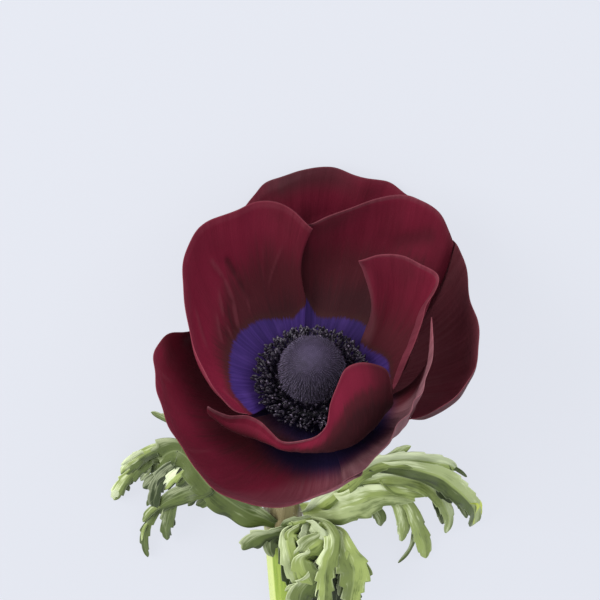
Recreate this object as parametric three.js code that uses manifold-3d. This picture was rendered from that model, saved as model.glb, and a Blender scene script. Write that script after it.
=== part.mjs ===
// A cut anemone (Anemone coronaria) lying on a flat surface, in millimetres, +Z up.
//
// The stem lies along -Y. Its neck bends up into the flower head, whose axis looks up and along +Y, so that
// the lowest petal rests on the surface. The origin is the middle of the flat spot under that petal.
// The head has eight petals in four layers, a ring of stamens and a ripe dome of carpels. Three cut, leafy
// bracts grow from one node a little way down the stem.

import * as THREE from "three";
import { mergeVertices } from "three/addons/utils/BufferGeometryUtils.js";
import Module from "manifold-3d";

const wasm = await Module();
wasm.setup();

// ---- Driving dimensions ------------------------------------------------------------------------------

const AXIS_ELEVATION = 40; // degrees between the flower's axis and the surface
const HEART = new THREE.Vector3(0, -20.4, 20.6); // centre of the receptacle, where the petals meet

const REST_SPOT = 14; // Y of the resting spot's middle as drawn; the whole flower moves back by this much

const CLAW_RADIUS = 5; // inner end of every petal, measured from the flower's axis
const CLAW_DROP = 0.6; // how far below the heart the innermost petals start
const LAYER_PITCH = 1.15; // drop along the axis from one layer of petals to the next
const PETAL_THICKNESS = 0.7;
const PETAL_COLUMNS = 18;
const PETAL_ROWS = 8;

const STEM_SIDES = 16;

const BRACT_THICKNESS = 0.7;

// ---- Frames ------------------------------------------------------------------------------------------

const elevation = THREE.MathUtils.degToRad(AXIS_ELEVATION);
const axisUp = new THREE.Vector3(0, Math.cos(elevation), Math.sin(elevation));
const axisAcross = new THREE.Vector3(0, Math.sin(elevation), -Math.cos(elevation));

// A point given along the flower's own axes: x to the right, y across towards the surface, z along the axis.
function inFlower(x, y, z) {
  return new THREE.Vector3(x, 0, 0).addScaledVector(axisAcross, y).addScaledVector(axisUp, z).add(HEART);
}

// The same, from an azimuth in degrees round the axis, a radius from it and a height along it.
// Azimuth 90 faces the surface, and 270 faces up and back over the stem.
function polar([azimuth, radius, height]) {
  const a = THREE.MathUtils.degToRad(azimuth);
  return inFlower(radius * Math.cos(a), radius * Math.sin(a), height);
}

// ---- Solids ------------------------------------------------------------------------------------------

function geometryOf(positions, index) {
  const geometry = new THREE.BufferGeometry();
  geometry.setAttribute("position", new THREE.Float32BufferAttribute(positions, 3));
  geometry.setIndex(index);
  return geometry;
}

// A closed sheet: points[row][column] is its middle surface, and it is thickened along its normals.
// Where it would reach below the surface that the flower lies on, it is lifted and lies flat there.
function sheet(points, thickness) {
  const rows = points.length;
  const columns = points[0].length;
  const faces = [[], []];
  for (let i = 0; i < rows; i++) {
    for (let j = 0; j < columns; j++) {
      const along = points[Math.min(i + 1, rows - 1)][j].clone().sub(points[Math.max(i - 1, 0)][j]);
      const across = points[i][Math.min(j + 1, columns - 1)].clone().sub(points[i][Math.max(j - 1, 0)]);
      const half = along.cross(across).setLength(thickness / 2);
      const front = points[i][j].clone().add(half);
      const back = points[i][j].clone().sub(half);
      const lift = Math.max(0, -front.z, -back.z);
      faces[0].push(front.x, front.y, front.z + lift);
      faces[1].push(back.x, back.y, back.z + lift);
    }
  }
  const positions = faces.flat();
  const at = (side, i, j) => side * rows * columns + i * columns + j;
  const index = [];
  for (let i = 0; i < rows - 1; i++) {
    for (let j = 0; j < columns - 1; j++) {
      const [a, b, c, d] = [at(0, i, j), at(0, i + 1, j), at(0, i + 1, j + 1), at(0, i, j + 1)];
      index.push(a, b, c, a, c, d);
      const [e, f, g, h] = [at(1, i, j), at(1, i + 1, j), at(1, i + 1, j + 1), at(1, i, j + 1)];
      index.push(e, g, f, e, h, g);
    }
  }
  const wall = (i0, j0, i1, j1) => {
    index.push(at(0, i0, j0), at(0, i1, j1), at(1, i1, j1), at(0, i0, j0), at(1, i1, j1), at(1, i0, j0));
  };
  for (let j = 0; j < columns - 1; j++) {
    wall(0, j, 0, j + 1);
    wall(rows - 1, j + 1, rows - 1, j);
  }
  for (let i = 0; i < rows - 1; i++) {
    wall(i + 1, 0, i, 0);
    wall(i, columns - 1, i + 1, columns - 1);
  }
  return geometryOf(positions, index);
}

// A closed skin over a list of rings, each with the same number of points, capped at both ends.
function loft(rings) {
  const sides = rings[0].length;
  const positions = rings.flat().flatMap((p) => [p.x, p.y, p.z]);
  const index = [];
  for (let i = 0; i < rings.length - 1; i++) {
    for (let j = 0; j < sides; j++) {
      const k = (j + 1) % sides;
      const [a, b, c, d] = [i * sides + j, i * sides + k, (i + 1) * sides + k, (i + 1) * sides + j];
      index.push(a, b, c, a, c, d);
    }
  }
  const last = (rings.length - 1) * sides;
  for (let j = 1; j < sides - 1; j++) {
    index.push(0, j + 1, j);
    index.push(last, last + j, last + j + 1);
  }
  return geometryOf(positions, index);
}

function manifoldOf(geometry) {
  const merged = mergeVertices(geometry, 1e-4);
  return new wasm.Manifold(
    new wasm.Mesh({
      numProp: 3,
      vertProperties: merged.attributes.position.array,
      triVerts: new Uint32Array(merged.index.array),
    }),
  );
}

// One solid out of many that grow into each other.
function fuse(geometries) {
  const mesh = wasm.Manifold.union(geometries.map(manifoldOf)).getMesh();
  return geometryOf(Array.from(mesh.vertProperties), Array.from(mesh.triVerts));
}

function piece(name, geometry, look) {
  const mesh = new THREE.Mesh(geometry, new THREE.MeshStandardMaterial(look));
  mesh.name = name;
  return mesh;
}

// ---- Petals ------------------------------------------------------------------------------------------

// Each petal is a sheet from its claw on the receptacle, over its belly, to its rim. The belly and rim are
// rows of points, from one side of the petal to the other: azimuth in degrees, radius and height in mm.
// Layer 0 is the innermost, and each layer's claws sit a pitch lower on the receptacle.
const PETALS = [
  {
    name: "petal_upper_left",
    layer: 0,
    claw: [115, 175],
    belly: [[94, 21, 7.5], [115, 25, 8.5], [135, 28, 9], [160, 27, 8], [185, 24, 6.5], [213, 16, 3.5]],
    rim: [
      [90, 28, 30], [98, 32.5, 32], [106, 36, 32.5], [112, 37.5, 32], [119, 37.5, 31.5],
      [131, 39.5, 30.5], [138, 39.3, 30], [151, 36, 29], [167, 31.5, 27], [182, 29, 22], [193, 27, 18.5],
      [203, 25, 14.5], [213, 23, 11.5], [219, 20, 10],
    ],
  },
  {
    name: "petal_inner_right",
    layer: 0,
    claw: [-8, 48],
    belly: [[342, 18, 5], [0, 21, 8], [18, 23, 10], [33, 21.5, 9], [48, 18.5, 8.5]],
    rim: [
      [338, 22.2, 17], [345, 23.3, 22.5], [353, 24.7, 28], [4, 26.6, 31], [10, 28, 33.4], [14, 30.4, 36],
      [19, 31.6, 38], [27, 28.7, 38.8], [35, 26.1, 39.2], [45, 22, 38.6], [53, 18.5, 36.3],
    ],
  },
  {
    name: "petal_upper_right",
    layer: 1,
    claw: [40, 95],
    belly: [[28, 26.5, 5.5], [50, 29, 7], [74, 28.5, 8.5], [96, 24.5, 5.5]],
    rim: [
      [38, 44.1, 24.2], [41, 44.9, 26.5], [46, 45.5, 29.5], [53, 44.5, 31.5], [58, 43.5, 32],
      [66, 38.7, 32.3], [75, 34, 32], [83, 31.3, 31], [90, 30.2, 29.3], [95, 31.5, 26.5],
    ],
  },
  {
    name: "petal_inner_lower",
    layer: 1,
    claw: [235, 300],
    belly: [
      [213, 25, 8.5], [225, 23.4, 7.5], [240, 20.9, 6.8], [255, 20.6, 6.8], [270, 21.4, 7.7],
      [285, 22.5, 9], [305, 22.5, 10], [326, 20, 8.5],
    ],
    rim: [
      [211, 29.5, 19.2], [214, 28.4, 18], [219, 26, 16], [225, 22.3, 15], [233, 21.2, 14.5],
      [243, 22.3, 14.8], [252, 23.8, 15.6], [262, 24, 17.5], [272, 24, 20.7], [279, 22.3, 24],
      [283, 19.3, 27.3], [291, 16.3, 30.3], [303, 14.2, 32.2], [315, 15.3, 33], [322, 18, 33],
      [326, 21, 31.5], [324, 22.9, 28.5], [322, 23.5, 25.5],
    ],
  },
  {
    name: "petal_lower_right",
    layer: 2,
    claw: [-76, -18],
    belly: [[287, 21.5, 1.8], [300, 23.5, 4.5], [325, 25, 7.5], [352, 24.5, 8.2]],
    rim: [
      [283, 31.6, 9.5], [290, 32.2, 14], [297, 32.2, 18], [305, 31.7, 21.5], [312, 30.6, 24],
      [319, 30.8, 25.5], [324, 29.8, 26], [330, 30.6, 27], [336, 29.6, 28.5], [344, 29.5, 30],
      [353, 29.1, 31.5], [3, 28.3, 33.3],
    ],
  },
  {
    name: "petal_top",
    layer: 2,
    claw: [65, 118],
    belly: [[60, 29.5, 4.5], [90, 31.5, 6], [118, 28, 6.3]],
    rim: [
      [57, 50, 20.5], [61, 49.4, 22.2], [66, 49, 24.7], [70, 47.8, 26.3], [77, 46.4, 28], [84, 47, 29.3],
      [93, 46, 29.2], [99, 45.7, 27.5], [105, 46, 25.5], [109, 44.5, 23.5], [115, 43, 20],
    ],
  },
  {
    name: "petal_lower_left",
    layer: 3,
    claw: [190, 296],
    belly: [
      [158, 28.3, 3.8], [178, 29.5, 4.6], [200, 31, 5], [230, 32, 3.5], [258, 29.5, 1.5],
      [282, 25.5, -0.6], [300, 23.5, -0.8],
    ],
    rim: [
      [157, 29.6, 9], [165, 32.5, 13.5], [169, 35.3, 16], [175, 37.2, 18.5], [181, 38.2, 20.5],
      [190, 38.6, 22], [206, 40, 22.5], [218, 40.8, 21], [229, 42, 18.8], [238, 43, 17],
      [249, 42.3, 16.2], [258, 41, 15.4], [264, 38.7, 14], [270, 36, 12], [277, 33, 10], [284, 31, 8],
      [290, 29.5, 6.5],
    ],
  },
  {
    name: "petal_right",
    layer: 3,
    claw: [-20, 40],
    belly: [[338, 25, 4], [350, 31, 4.5], [10, 32.5, 6], [38, 31, 4.8], [46, 30.2, 4.4]],
    rim: [
      [321, 31, 20], [326, 31.8, 18.8], [331, 35, 22.5], [338, 38, 25], [346, 39.5, 26.3], [356, 40, 27],
      [6, 40, 27], [15, 39.5, 26.5], [24, 41.5, 26], [33, 44, 24.7], [40, 45.1, 23.6], [46, 43.5, 22.5],
    ],
  },
];

const PETAL_LOOK = { color: 0x4a121d, roughness: 0.6, metalness: 0, side: THREE.DoubleSide };

const row = (points) => new THREE.CatmullRomCurve3(points.map(polar), false, "centripetal");

function petalPoints({ layer, claw, belly, rim }) {
  const [from, to] = claw;
  const bellyRow = row(belly);
  const rimRow = row(rim);
  const points = [];
  for (let i = 0; i <= PETAL_ROWS; i++) {
    const v = i / PETAL_ROWS;
    points.push([]);
    for (let j = 0; j <= PETAL_COLUMNS; j++) {
      const u = j / PETAL_COLUMNS;
      const start = polar([from + (to - from) * u, CLAW_RADIUS, -CLAW_DROP - layer * LAYER_PITCH]);
      const p = start.multiplyScalar((1 - v) * (1 - 2 * v));
      p.addScaledVector(bellyRow.getPointAt(u), 4 * v * (1 - v));
      p.addScaledVector(rimRow.getPointAt(u), v * (2 * v - 1));
      points[i].push(p);
    }
  }
  return points;
}

// ---- Bracts ------------------------------------------------------------------------------------------

// A bract is a blade with lobes that fork from it. Each path is a row of points along the middle of a blade
// or lobe: x, y, z and the width there. A lobe starts on its parent, at that share of the parent's length.
// Stations halfway between the points follow a smooth curve, and both margins stand a little above the rib.
const BRACTS = [
  {
    name: "bract_left",
    face: new THREE.Vector3(-0.4, 0.1, 1),
    path: [
      [-11.7, -60, 9.7, 4.5], [-18.4, -54.5, 13, 9.5], [-24.8, -50.2, 14, 9], [-29.8, -45.6, 13.5, 7.5],
      [-34, -42.5, 12, 6], [-39, -44, 9.5, 4.5], [-43, -48.5, 7, 3.5], [-47, -53.8, 4, 1.2],
    ],
    lobes: [
      { at: 0.24, path: [[-26.7, -55.8, 11.5, 3], [-29.6, -57.4, 10, 1]] },
      {
        at: 0.3,
        path: [
          [-31.3, -52.5, 12, 6.5], [-36, -55.5, 10, 6], [-39.4, -60.5, 7, 3], [-43.1, -68.2, 4, 2.2],
          [-42.8, -76.1, 0.9, 0.8],
        ],
        lobes: [
          { at: 0.45, path: [[-36.7, -65.2, 6, 3], [-38.3, -70.7, 3, 1]] },
          { at: 0.55, path: [[-42.4, -61.2, 6, 2], [-44.4, -65.6, 4, 0.8]] },
        ],
      },
      { at: 0.4, path: [[-33.3, -49.5, 11, 5], [-39.1, -51.6, 9, 4], [-43.8, -54.1, 6, 1.5]] },
      { at: 0.6, path: [[-41.6, -43, 8, 2.8], [-46.5, -47.4, 5, 2.4], [-49.7, -52.2, 2, 1]] },
      { at: 0.8, path: [[-44.5, -51.7, 5, 2.8], [-48.7, -56.2, 2.5, 2], [-51.8, -59.9, 0.8, 1]] },
      { at: 0.42, path: [[-32.4, -38.8, 10, 4], [-37.6, -35.1, 7, 2.5], [-41.3, -33.9, 4.5, 0.8]] },
    ],
  },
  {
    name: "bract_right",
    face: new THREE.Vector3(0.4, 0.1, 1),
    path: [
      [-2.5, -60.2, 8.7, 4], [4.7, -57.7, 11, 7.5], [11, -55, 13, 8], [18.8, -52.4, 14, 5.5],
      [22.7, -52.8, 13, 4], [26.1, -55.5, 11, 1],
    ],
    lobes: [
      {
        at: 0.25,
        path: [
          [10, -51.5, 13.5, 3.5], [17.5, -48.8, 14.5, 4], [23.9, -49.2, 13.5, 4.2], [29.7, -51.8, 11, 3.5],
          [33, -54.5, 9, 3.2], [34.8, -59.8, 6, 3], [35.4, -69.2, 2, 0.9],
        ],
        lobes: [{ at: 0.68, path: [[35.7, -56.5, 7, 1.8], [36.4, -60.8, 5, 0.8]] }],
      },
      {
        at: 0.2,
        path: [
          [8, -50, 13.5, 3], [13.6, -45.4, 15, 3.5], [22.5, -44.3, 15, 4.5], [30.3, -46.9, 13, 5],
          [37.8, -51.6, 9.5, 4.2], [42.3, -57.7, 5, 2.6], [42, -67, 0.8, 1.6],
        ],
        lobes: [
          { at: 0.45, path: [[32.1, -50.5, 9.5, 3], [35.1, -54.8, 7.5, 2.5], [38.5, -58.2, 6, 1]] },
          {
            at: 0.28,
            path: [[22.5, -42, 14, 2.5], [29, -42.8, 13, 3], [34.7, -44.4, 11, 2.6], [37.5, -46.7, 9, 1]],
            lobes: [{ at: 0.8, path: [[37.5, -48.1, 9, 1.3], [40.3, -51.2, 7, 0.6]] }],
          },
          { at: 0.25, path: [[18.7, -42, 13.5, 1.5], [22, -40.5, 13, 1.6], [25.6, -39.5, 12, 0.8]] },
        ],
      },
      { at: 0.52, path: [[18.2, -59.4, 11, 2.5], [18, -63.2, 9, 0.8]] },
      { at: 0.7, path: [[23.7, -60.4, 9, 2.6], [24.2, -66.6, 5, 2.4], [23.9, -71.2, 2, 1]] },
      {
        at: 0.8,
        path: [[27.2, -62.3, 8, 2.8], [29.3, -69.9, 4, 3.2], [30.4, -76.8, 0.9, 1]],
        lobes: [{ at: 0.3, path: [[26.8, -69.5, 5, 1.2], [25.7, -74.2, 3, 1], [23, -78.2, 1.5, 0.6]] }],
      },
    ],
  },
  {
    name: "bract_front",
    face: new THREE.Vector3(0, -0.4, 1),
    path: [
      [-6.8, -61.2, 11.5, 4.5], [-2.5, -63.2, 13, 6], [1.1, -66.1, 15, 6.5], [0.9, -70.7, 15.5, 5.5],
      [-0.9, -76.9, 14.5, 5.5], [-2.5, -83.5, 13, 4.5], [-3.3, -89.2, 11.5, 1.2],
    ],
    lobes: [
      {
        at: 0.03,
        path: [[-10.2, -63.6, 13, 3.3], [-14.4, -65.3, 13, 4], [-17.8, -70, 11, 1.8]],
        lobes: [{ at: 0.35, path: [[-10.4, -67.6, 12.5, 3], [-9.2, -71, 12.5, 1]] }],
      },
      { at: 0.1, path: [[-6.1, -66.5, 13, 2.5], [-5.3, -71.5, 13.5, 3.5], [-4, -77.4, 12.5, 1.2]] },
      { at: 0.45, path: [[-3, -71.5, 15.5, 3], [-2, -75, 15, 2.5], [-3.5, -79, 14, 1]] },
      {
        at: 0.15,
        path: [
          [2.7, -62.8, 14, 4], [6.3, -65.8, 15.5, 6], [9.2, -72.3, 14, 7.5], [10.1, -81, 11, 7],
          [10.2, -89.6, 8, 4.5], [9.2, -96.5, 5, 1.2],
        ],
        lobes: [
          { at: 0.42, path: [[12.1, -73.1, 13, 3], [15, -77.5, 11, 1]] },
          { at: 0.55, path: [[12.2, -79, 11.5, 3], [14.6, -83, 9, 1]] },
          { at: 0.7, path: [[12.3, -86.1, 9, 2.5], [14, -91, 6.5, 1]] },
          {
            at: 0.3,
            path: [[4.2, -71.5, 14.5, 3], [3.8, -78, 12.5, 3.3], [4.2, -85.7, 10, 2.5], [4, -92, 8, 1]],
          },
        ],
      },
    ],
  },
];

const BRACT_LOOK = { color: 0x7d9450, roughness: 0.65, metalness: 0, side: THREE.DoubleSide };
const MARGIN_RISE = 0.16; // how far the margins stand above the rib, as a share of the width

function bladePoints(path, face) {
  const middles = path.map(([x, y, z]) => new THREE.Vector3(x, y, z));
  const curve = new THREE.CatmullRomCurve3(middles, false, "centripetal");
  const steps = 2 * (path.length - 1);
  const points = [];
  for (let i = 0; i <= steps; i++) {
    const middle = curve.getPoint(i / steps);
    const along = curve.getTangent(i / steps);
    const side = along.clone().cross(face).normalize();
    const up = side.clone().cross(along).normalize();
    const width = (path[Math.floor(i / 2)][3] + path[Math.ceil(i / 2)][3]) / 2;
    const edge = (sign) =>
      middle.clone().addScaledVector(side, (sign * width) / 2).addScaledVector(up, MARGIN_RISE * width);
    points.push([edge(-1), middle, edge(1)]);
  }
  return { curve, points };
}

function bladeGeometries({ path, lobes = [] }, face) {
  const { curve, points } = bladePoints(path, face);
  const geometries = [sheet(points, BRACT_THICKNESS)];
  for (const lobe of lobes) {
    const root = curve.getPoint(lobe.at);
    const rootWidth = Math.max(lobe.path[0][3] * 0.8, 1);
    const path = [[root.x, root.y, root.z, rootWidth], ...lobe.path];
    geometries.push(...bladeGeometries({ path, lobes: lobe.lobes }, face));
  }
  return geometries;
}

// ---- Stem --------------------------------------------------------------------------------------------

// The receptacle and the neck leave the flower along its axis, and the stem lies along the surface. Each row
// is a point along the middle, x, y and z in mm, and the stem's radius there.
const STEM_TOP = [
  [0.6, 3.4], [-0.4, 4.4], [-4.8, 4.6], [-5.5, 6.2], [-7.3, 5.6],
];
const STEM_PATH = [
  [-1.4, -29.4, 12.6, 4.9], [-3.2, -36, 8.8, 4.8], [-4.9, -43, 6.4, 5], [-6.3, -50.5, 5.4, 5.2],
  [-7.2, -58, 5.2, 5.2], [-7.5, -63, 5.2, 5.2], [-7.2, -69, 5, 5], [-6.5, -80, 5, 5], [-5, -100, 5, 5],
  [-3.2, -120, 5, 5], [-1, -140, 5, 5], [1, -160, 5, 5], [3, -180, 5, 5], [5, -200, 5, 5], [7, -221, 5, 5],
];
const STEM_RIDGE = 0.25; // depth of the furrows between the stem's ridges
const CUT_SLOPE = 0.5; // how far the cut leans, as a share of the height above the middle

const STEM_LOOK = { color: 0x97ac47, roughness: 0.55, metalness: 0 };

// A ring of points round a middle, in the plane of two unit vectors. An odd point may stand in by a furrow.
function ringRound(middle, side, up, radius, sides, start, furrow = 0) {
  return Array.from({ length: sides }, (_, j) => {
    const a = (2 * Math.PI * j) / sides + start;
    const r = radius - (j % 2) * furrow;
    return middle.clone().addScaledVector(side, r * Math.cos(a)).addScaledVector(up, r * Math.sin(a));
  });
}

function stemGeometry() {
  const middles = STEM_TOP.map(([height]) => polar([0, 0, height]));
  const radii = [...STEM_TOP.map(([, radius]) => radius), ...STEM_PATH.map(([, , , radius]) => radius)];
  middles.push(...STEM_PATH.map(([x, y, z]) => new THREE.Vector3(x, y, z)));
  const last = middles.length - 1;
  const right = new THREE.Vector3(1, 0, 0);
  const rings = middles.map((middle, i) => {
    const along = middles[Math.min(i + 1, last)].clone().sub(middles[Math.max(i - 1, 0)]).normalize();
    const up = right.clone().cross(along).normalize();
    const side = up.clone().cross(along).normalize();
    return ringRound(middle, side, up, radii[i], STEM_SIDES, -Math.PI / 2, STEM_RIDGE);
  });
  for (const p of rings[last]) {
    p.y += CUT_SLOPE * (p.z - middles[last].z);
  }
  return loft(rings);
}

// ---- Dome and stamens --------------------------------------------------------------------------------

const DOME_CENTRE = 9.5; // height of the dome's middle along the axis
const DOME_RADIUS = 8.1;
const DOME_HALF_HEIGHT = 9.2;
const DOME_FOOT = 0.9; // height at which the dome stands on the receptacle
const DOME_RELIEF = 0.35; // how far the tips of the carpels stand out
const DOME_COLUMNS = 28;
const DOME_ROWS = 14;

const STAMEN_COUNT = 110;
const STAMEN_SIDES = 3;
const COLLAR = { inner: 6, outer: 9.6, bottom: 1.6, top: 2.8 };
const ANTHER = { length: 2.6, width: 1.1, nearest: 9.3, furthest: 13.4, highest: 8, lowest: 4.4 };

const DARK_LOOK = { color: 0x1d1620, roughness: 0.7, metalness: 0 };
const DOME_LOOK = { color: 0x3b3448, roughness: 0.8, metalness: 0 };

function domeGeometry() {
  const rings = [];
  for (let i = 0; i < DOME_ROWS; i++) {
    const polarAngle = Math.PI * (1 - (i + 0.7) / DOME_ROWS);
    rings.push(
      Array.from({ length: DOME_COLUMNS }, (_, j) => {
        const bump = 1 - ((i + j) % 2) * (DOME_RELIEF / DOME_RADIUS);
        const radius = DOME_RADIUS * Math.sin(polarAngle) * bump;
        const height = DOME_CENTRE + DOME_HALF_HEIGHT * Math.cos(polarAngle) * bump;
        return polar([(360 * j) / DOME_COLUMNS, radius, Math.max(height, DOME_FOOT)]);
      }),
    );
  }
  return loft(rings);
}

function collarGeometry() {
  const { inner, outer, bottom, top } = COLLAR;
  const profile = [[inner, bottom], [outer, bottom], [outer, top], [inner, top], [inner, bottom]];
  const ring = new THREE.LatheGeometry(profile.map(([x, y]) => new THREE.Vector2(x, y)), 24);
  ring.deleteAttribute("normal");
  ring.deleteAttribute("uv");
  const upright = new THREE.Vector3(0, 1, 0);
  const turn = new THREE.Quaternion().setFromUnitVectors(upright, axisUp);
  return ring.applyQuaternion(turn).translate(HEART.x, HEART.y, HEART.z);
}

// One stamen: a thin filament from the collar, and an anther that leans outwards on its end.
function stamenGeometry(azimuth, share, lift) {
  const { nearest, furthest, highest, lowest, length, width } = ANTHER;
  const root = polar([azimuth, COLLAR.inner + 0.6 + share * 2.7, COLLAR.bottom + 0.5]);
  const reach = nearest + (furthest - nearest) * share;
  const height = highest + (lowest - highest) * share + lift;
  const foot = polar([azimuth, reach - 0.4, height]);
  const lean = 0.4 + 0.5 * share;
  const tip = polar([azimuth, reach - 0.4 + length * lean, height + length * (1 - lean)]);
  const belly = foot.clone().lerp(tip, 0.5);
  const stations = [[root, 0.35], [foot, 0.3], [belly, width / 2], [tip, 0.25]];
  const rings = stations.map(([middle, radius], i) => {
    const along = i < 1 ? foot.clone().sub(root).normalize() : tip.clone().sub(foot).normalize();
    const side = along.clone().cross(axisUp).normalize();
    const up = along.clone().cross(side).normalize();
    return ringRound(middle, side, up, radius, STAMEN_SIDES, Math.PI / 2);
  });
  return loft(rings);
}

function seeded(seed) {
  let state = seed;
  return () => {
    state = (state * 1664525 + 1013904223) % 4294967296;
    return state / 4294967296;
  };
}

function stamensGeometry() {
  const random = seeded(7);
  const geometries = [collarGeometry()];
  for (let i = 0; i < STAMEN_COUNT; i++) {
    const share = Math.sqrt((i + 0.5) / STAMEN_COUNT) * 0.95 + random() * 0.05;
    geometries.push(stamenGeometry(i * 137.508, share, random() - 0.5));
  }
  return fuse(geometries);
}

// ---- The flower --------------------------------------------------------------------------------------

const flower = new THREE.Group();
flower.add(piece("stem", stemGeometry(), STEM_LOOK));
flower.add(piece("pistil_dome", domeGeometry(), DOME_LOOK));
flower.add(piece("stamens", stamensGeometry(), DARK_LOOK));
for (const petal of PETALS) {
  flower.add(piece(petal.name, sheet(petalPoints(petal), PETAL_THICKNESS), PETAL_LOOK));
}
for (const bract of BRACTS) {
  flower.add(piece(bract.name, fuse(bladeGeometries(bract, bract.face)), BRACT_LOOK));
}

flower.position.y = -REST_SPOT;

export default flower;
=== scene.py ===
import math

import bpy
import numpy as np
from mathutils import Matrix, Vector


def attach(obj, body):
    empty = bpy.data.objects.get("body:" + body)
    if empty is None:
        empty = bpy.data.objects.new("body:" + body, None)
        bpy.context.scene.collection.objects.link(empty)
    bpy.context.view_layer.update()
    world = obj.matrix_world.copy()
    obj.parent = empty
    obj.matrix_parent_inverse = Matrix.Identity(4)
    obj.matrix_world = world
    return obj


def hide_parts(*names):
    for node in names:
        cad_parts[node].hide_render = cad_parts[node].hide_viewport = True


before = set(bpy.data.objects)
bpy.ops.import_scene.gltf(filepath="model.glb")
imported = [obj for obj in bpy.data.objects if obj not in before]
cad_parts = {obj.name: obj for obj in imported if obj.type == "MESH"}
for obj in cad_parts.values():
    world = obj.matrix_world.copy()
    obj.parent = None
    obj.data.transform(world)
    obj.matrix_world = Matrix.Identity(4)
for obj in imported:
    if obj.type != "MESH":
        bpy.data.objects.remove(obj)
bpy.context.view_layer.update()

# A cut anemone lying on a pale floor, seen from above. Lengths are in mm until a mesh is made.

MM = 0.001
AXIS_ELEVATION = math.radians(40)  # the flower's axis above the floor
HEART = np.array([0.0, -34.4, 20.6])  # centre of the receptacle, where the petals meet
AXIS_UP = np.array([0, math.cos(AXIS_ELEVATION), math.sin(AXIS_ELEVATION)])
AXIS_ACROSS = np.array([0, math.sin(AXIS_ELEVATION), -math.cos(AXIS_ELEVATION)])

CAMERA_TILT = math.radians(20)  # between the camera's line of sight and the vertical
EYE_DISTANCE = 600
TOWARD_CAMERA = Vector((0, math.sin(CAMERA_TILT), math.cos(CAMERA_TILT)))
PICTURE_UP = Vector((0, math.cos(CAMERA_TILT), -math.sin(CAMERA_TILT)))
PICTURE_RIGHT = Vector((1, 0, 0))
HEART_TO_MIDDLE = (-3, 22)  # how far right of and above the heart the picture's middle is
PICTURE_MIDDLE = (HEART + HEART_TO_MIDDLE[0] * np.array(PICTURE_RIGHT)
                  + HEART_TO_MIDDLE[1] * np.array(PICTURE_UP))
MIDDLE_PIXEL = 300  # of the 600 by 600 picture, across and down
PIXEL_SIZE = 0.25  # in the plane of the picture's middle


# ---- Curves and frames --------------------------------------------------------------------------------

FINE_STATIONS = 400  # at which a curve's length is measured
SOFT_CORNER = 0.4  # reach of the softened corners of a table


def in_flower(x, y, z):
    """Points along the flower's own axes: x to the right, y across towards the floor, z along the axis."""
    x, y, z = np.broadcast_arrays(*(np.asarray(a, float) for a in (x, y, z)))
    return HEART + x[..., None] * np.array([1.0, 0, 0]) + y[..., None] * AXIS_ACROSS + z[..., None] * AXIS_UP


def polar(azimuth, radius, height):
    """The same, from an azimuth in degrees round the axis, a radius from it and a height along it."""
    angle = np.radians(azimuth)
    return in_flower(radius * np.cos(angle), radius * np.sin(angle), height)


def unit(v):
    """Vectors of length 1 in the same directions."""
    return v / np.maximum(np.linalg.norm(v, axis=-1, keepdims=True), 1e-12)


def smooth(low, high, x):
    """A smooth step of x: 0 up to low and 1 from high on. It falls where high is below low."""
    t = np.clip((np.asarray(x, float) - low) / (high - low), 0, 1)
    return t * t * (3 - 2 * t)


def curve(rows, t):
    """Points at shares t of a centripetal Catmull-Rom curve through the rows."""
    rows = np.asarray(rows, float)
    whole = np.vstack([2 * rows[0] - rows[1], rows, 2 * rows[-1] - rows[-2]])
    place = np.clip(np.asarray(t, float), 0, 1) * (len(rows) - 1)
    k = np.minimum(place.astype(int), len(rows) - 2)
    w = (place - k)[:, None]
    p0, p1, p2, p3 = (whole[k + i] for i in range(4))
    d0, d1, d2 = (np.sqrt(np.linalg.norm(b - a, axis=1))[:, None] for a, b in ((p0, p1), (p1, p2), (p2, p3)))
    d0, d2 = np.where(d0 < 1e-4, d1, d0), np.where(d2 < 1e-4, d1, d2)
    m1 = ((p1 - p0) / d0 - (p2 - p0) / (d0 + d1) + (p2 - p1) / d1) * d1
    m2 = ((p2 - p1) / d1 - (p3 - p1) / (d1 + d2) + (p3 - p2) / d2) * d1
    return p1 + m1 * w + (-3 * p1 + 3 * p2 - 2 * m1 - m2) * w**2 + (2 * p1 - 2 * p2 + m1 + m2) * w**3


def run_of(points):
    """The length along a row of points, from 0 at its first."""
    return np.concatenate([[0], np.cumsum(np.linalg.norm(np.diff(points, axis=0), axis=1))])


def curve_by_length(rows, t):
    """The same, with t as a share of the curve's length."""
    fine = curve(rows, np.linspace(0, 1, FINE_STATIONS))
    run = run_of(fine)
    return np.stack([np.interp(np.asarray(t) * run[-1], run, fine[:, i]) for i in range(fine.shape[1])], 1)


def at(table, x):
    """The value at x of a table of (x, value) pairs, with soft corners."""
    xs, ys = zip(*table)
    offsets = (-SOFT_CORNER, 0, SOFT_CORNER)
    return sum(np.interp(np.asarray(x) + d, xs, ys) for d in offsets) / len(offsets)


# ---- Meshes -------------------------------------------------------------------------------------------

def around(angle, side, up):
    """Rings of directions at the angles, round each row of the side and up directions."""
    return np.cos(angle)[None, :, None] * side[:, None] + np.sin(angle)[None, :, None] * up[:, None]


def grid_faces(rows, columns, start=0, wrap=False):
    """Quads between neighbouring points of a grid. With wrap, its last column joins its first."""
    i, j = np.meshgrid(np.arange(rows - 1), np.arange(columns if wrap else columns - 1), indexing="ij")
    k = (j + 1) % columns
    return start + np.stack([i * columns + j, i * columns + k, (i + 1) * columns + k, (i + 1) * columns + j],
                            -1).reshape(-1, 4)


def surface_normals(points):
    """Unit normals of points[row][column]."""
    return unit(np.cross(np.gradient(points, axis=0), np.gradient(points, axis=1)))


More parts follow.
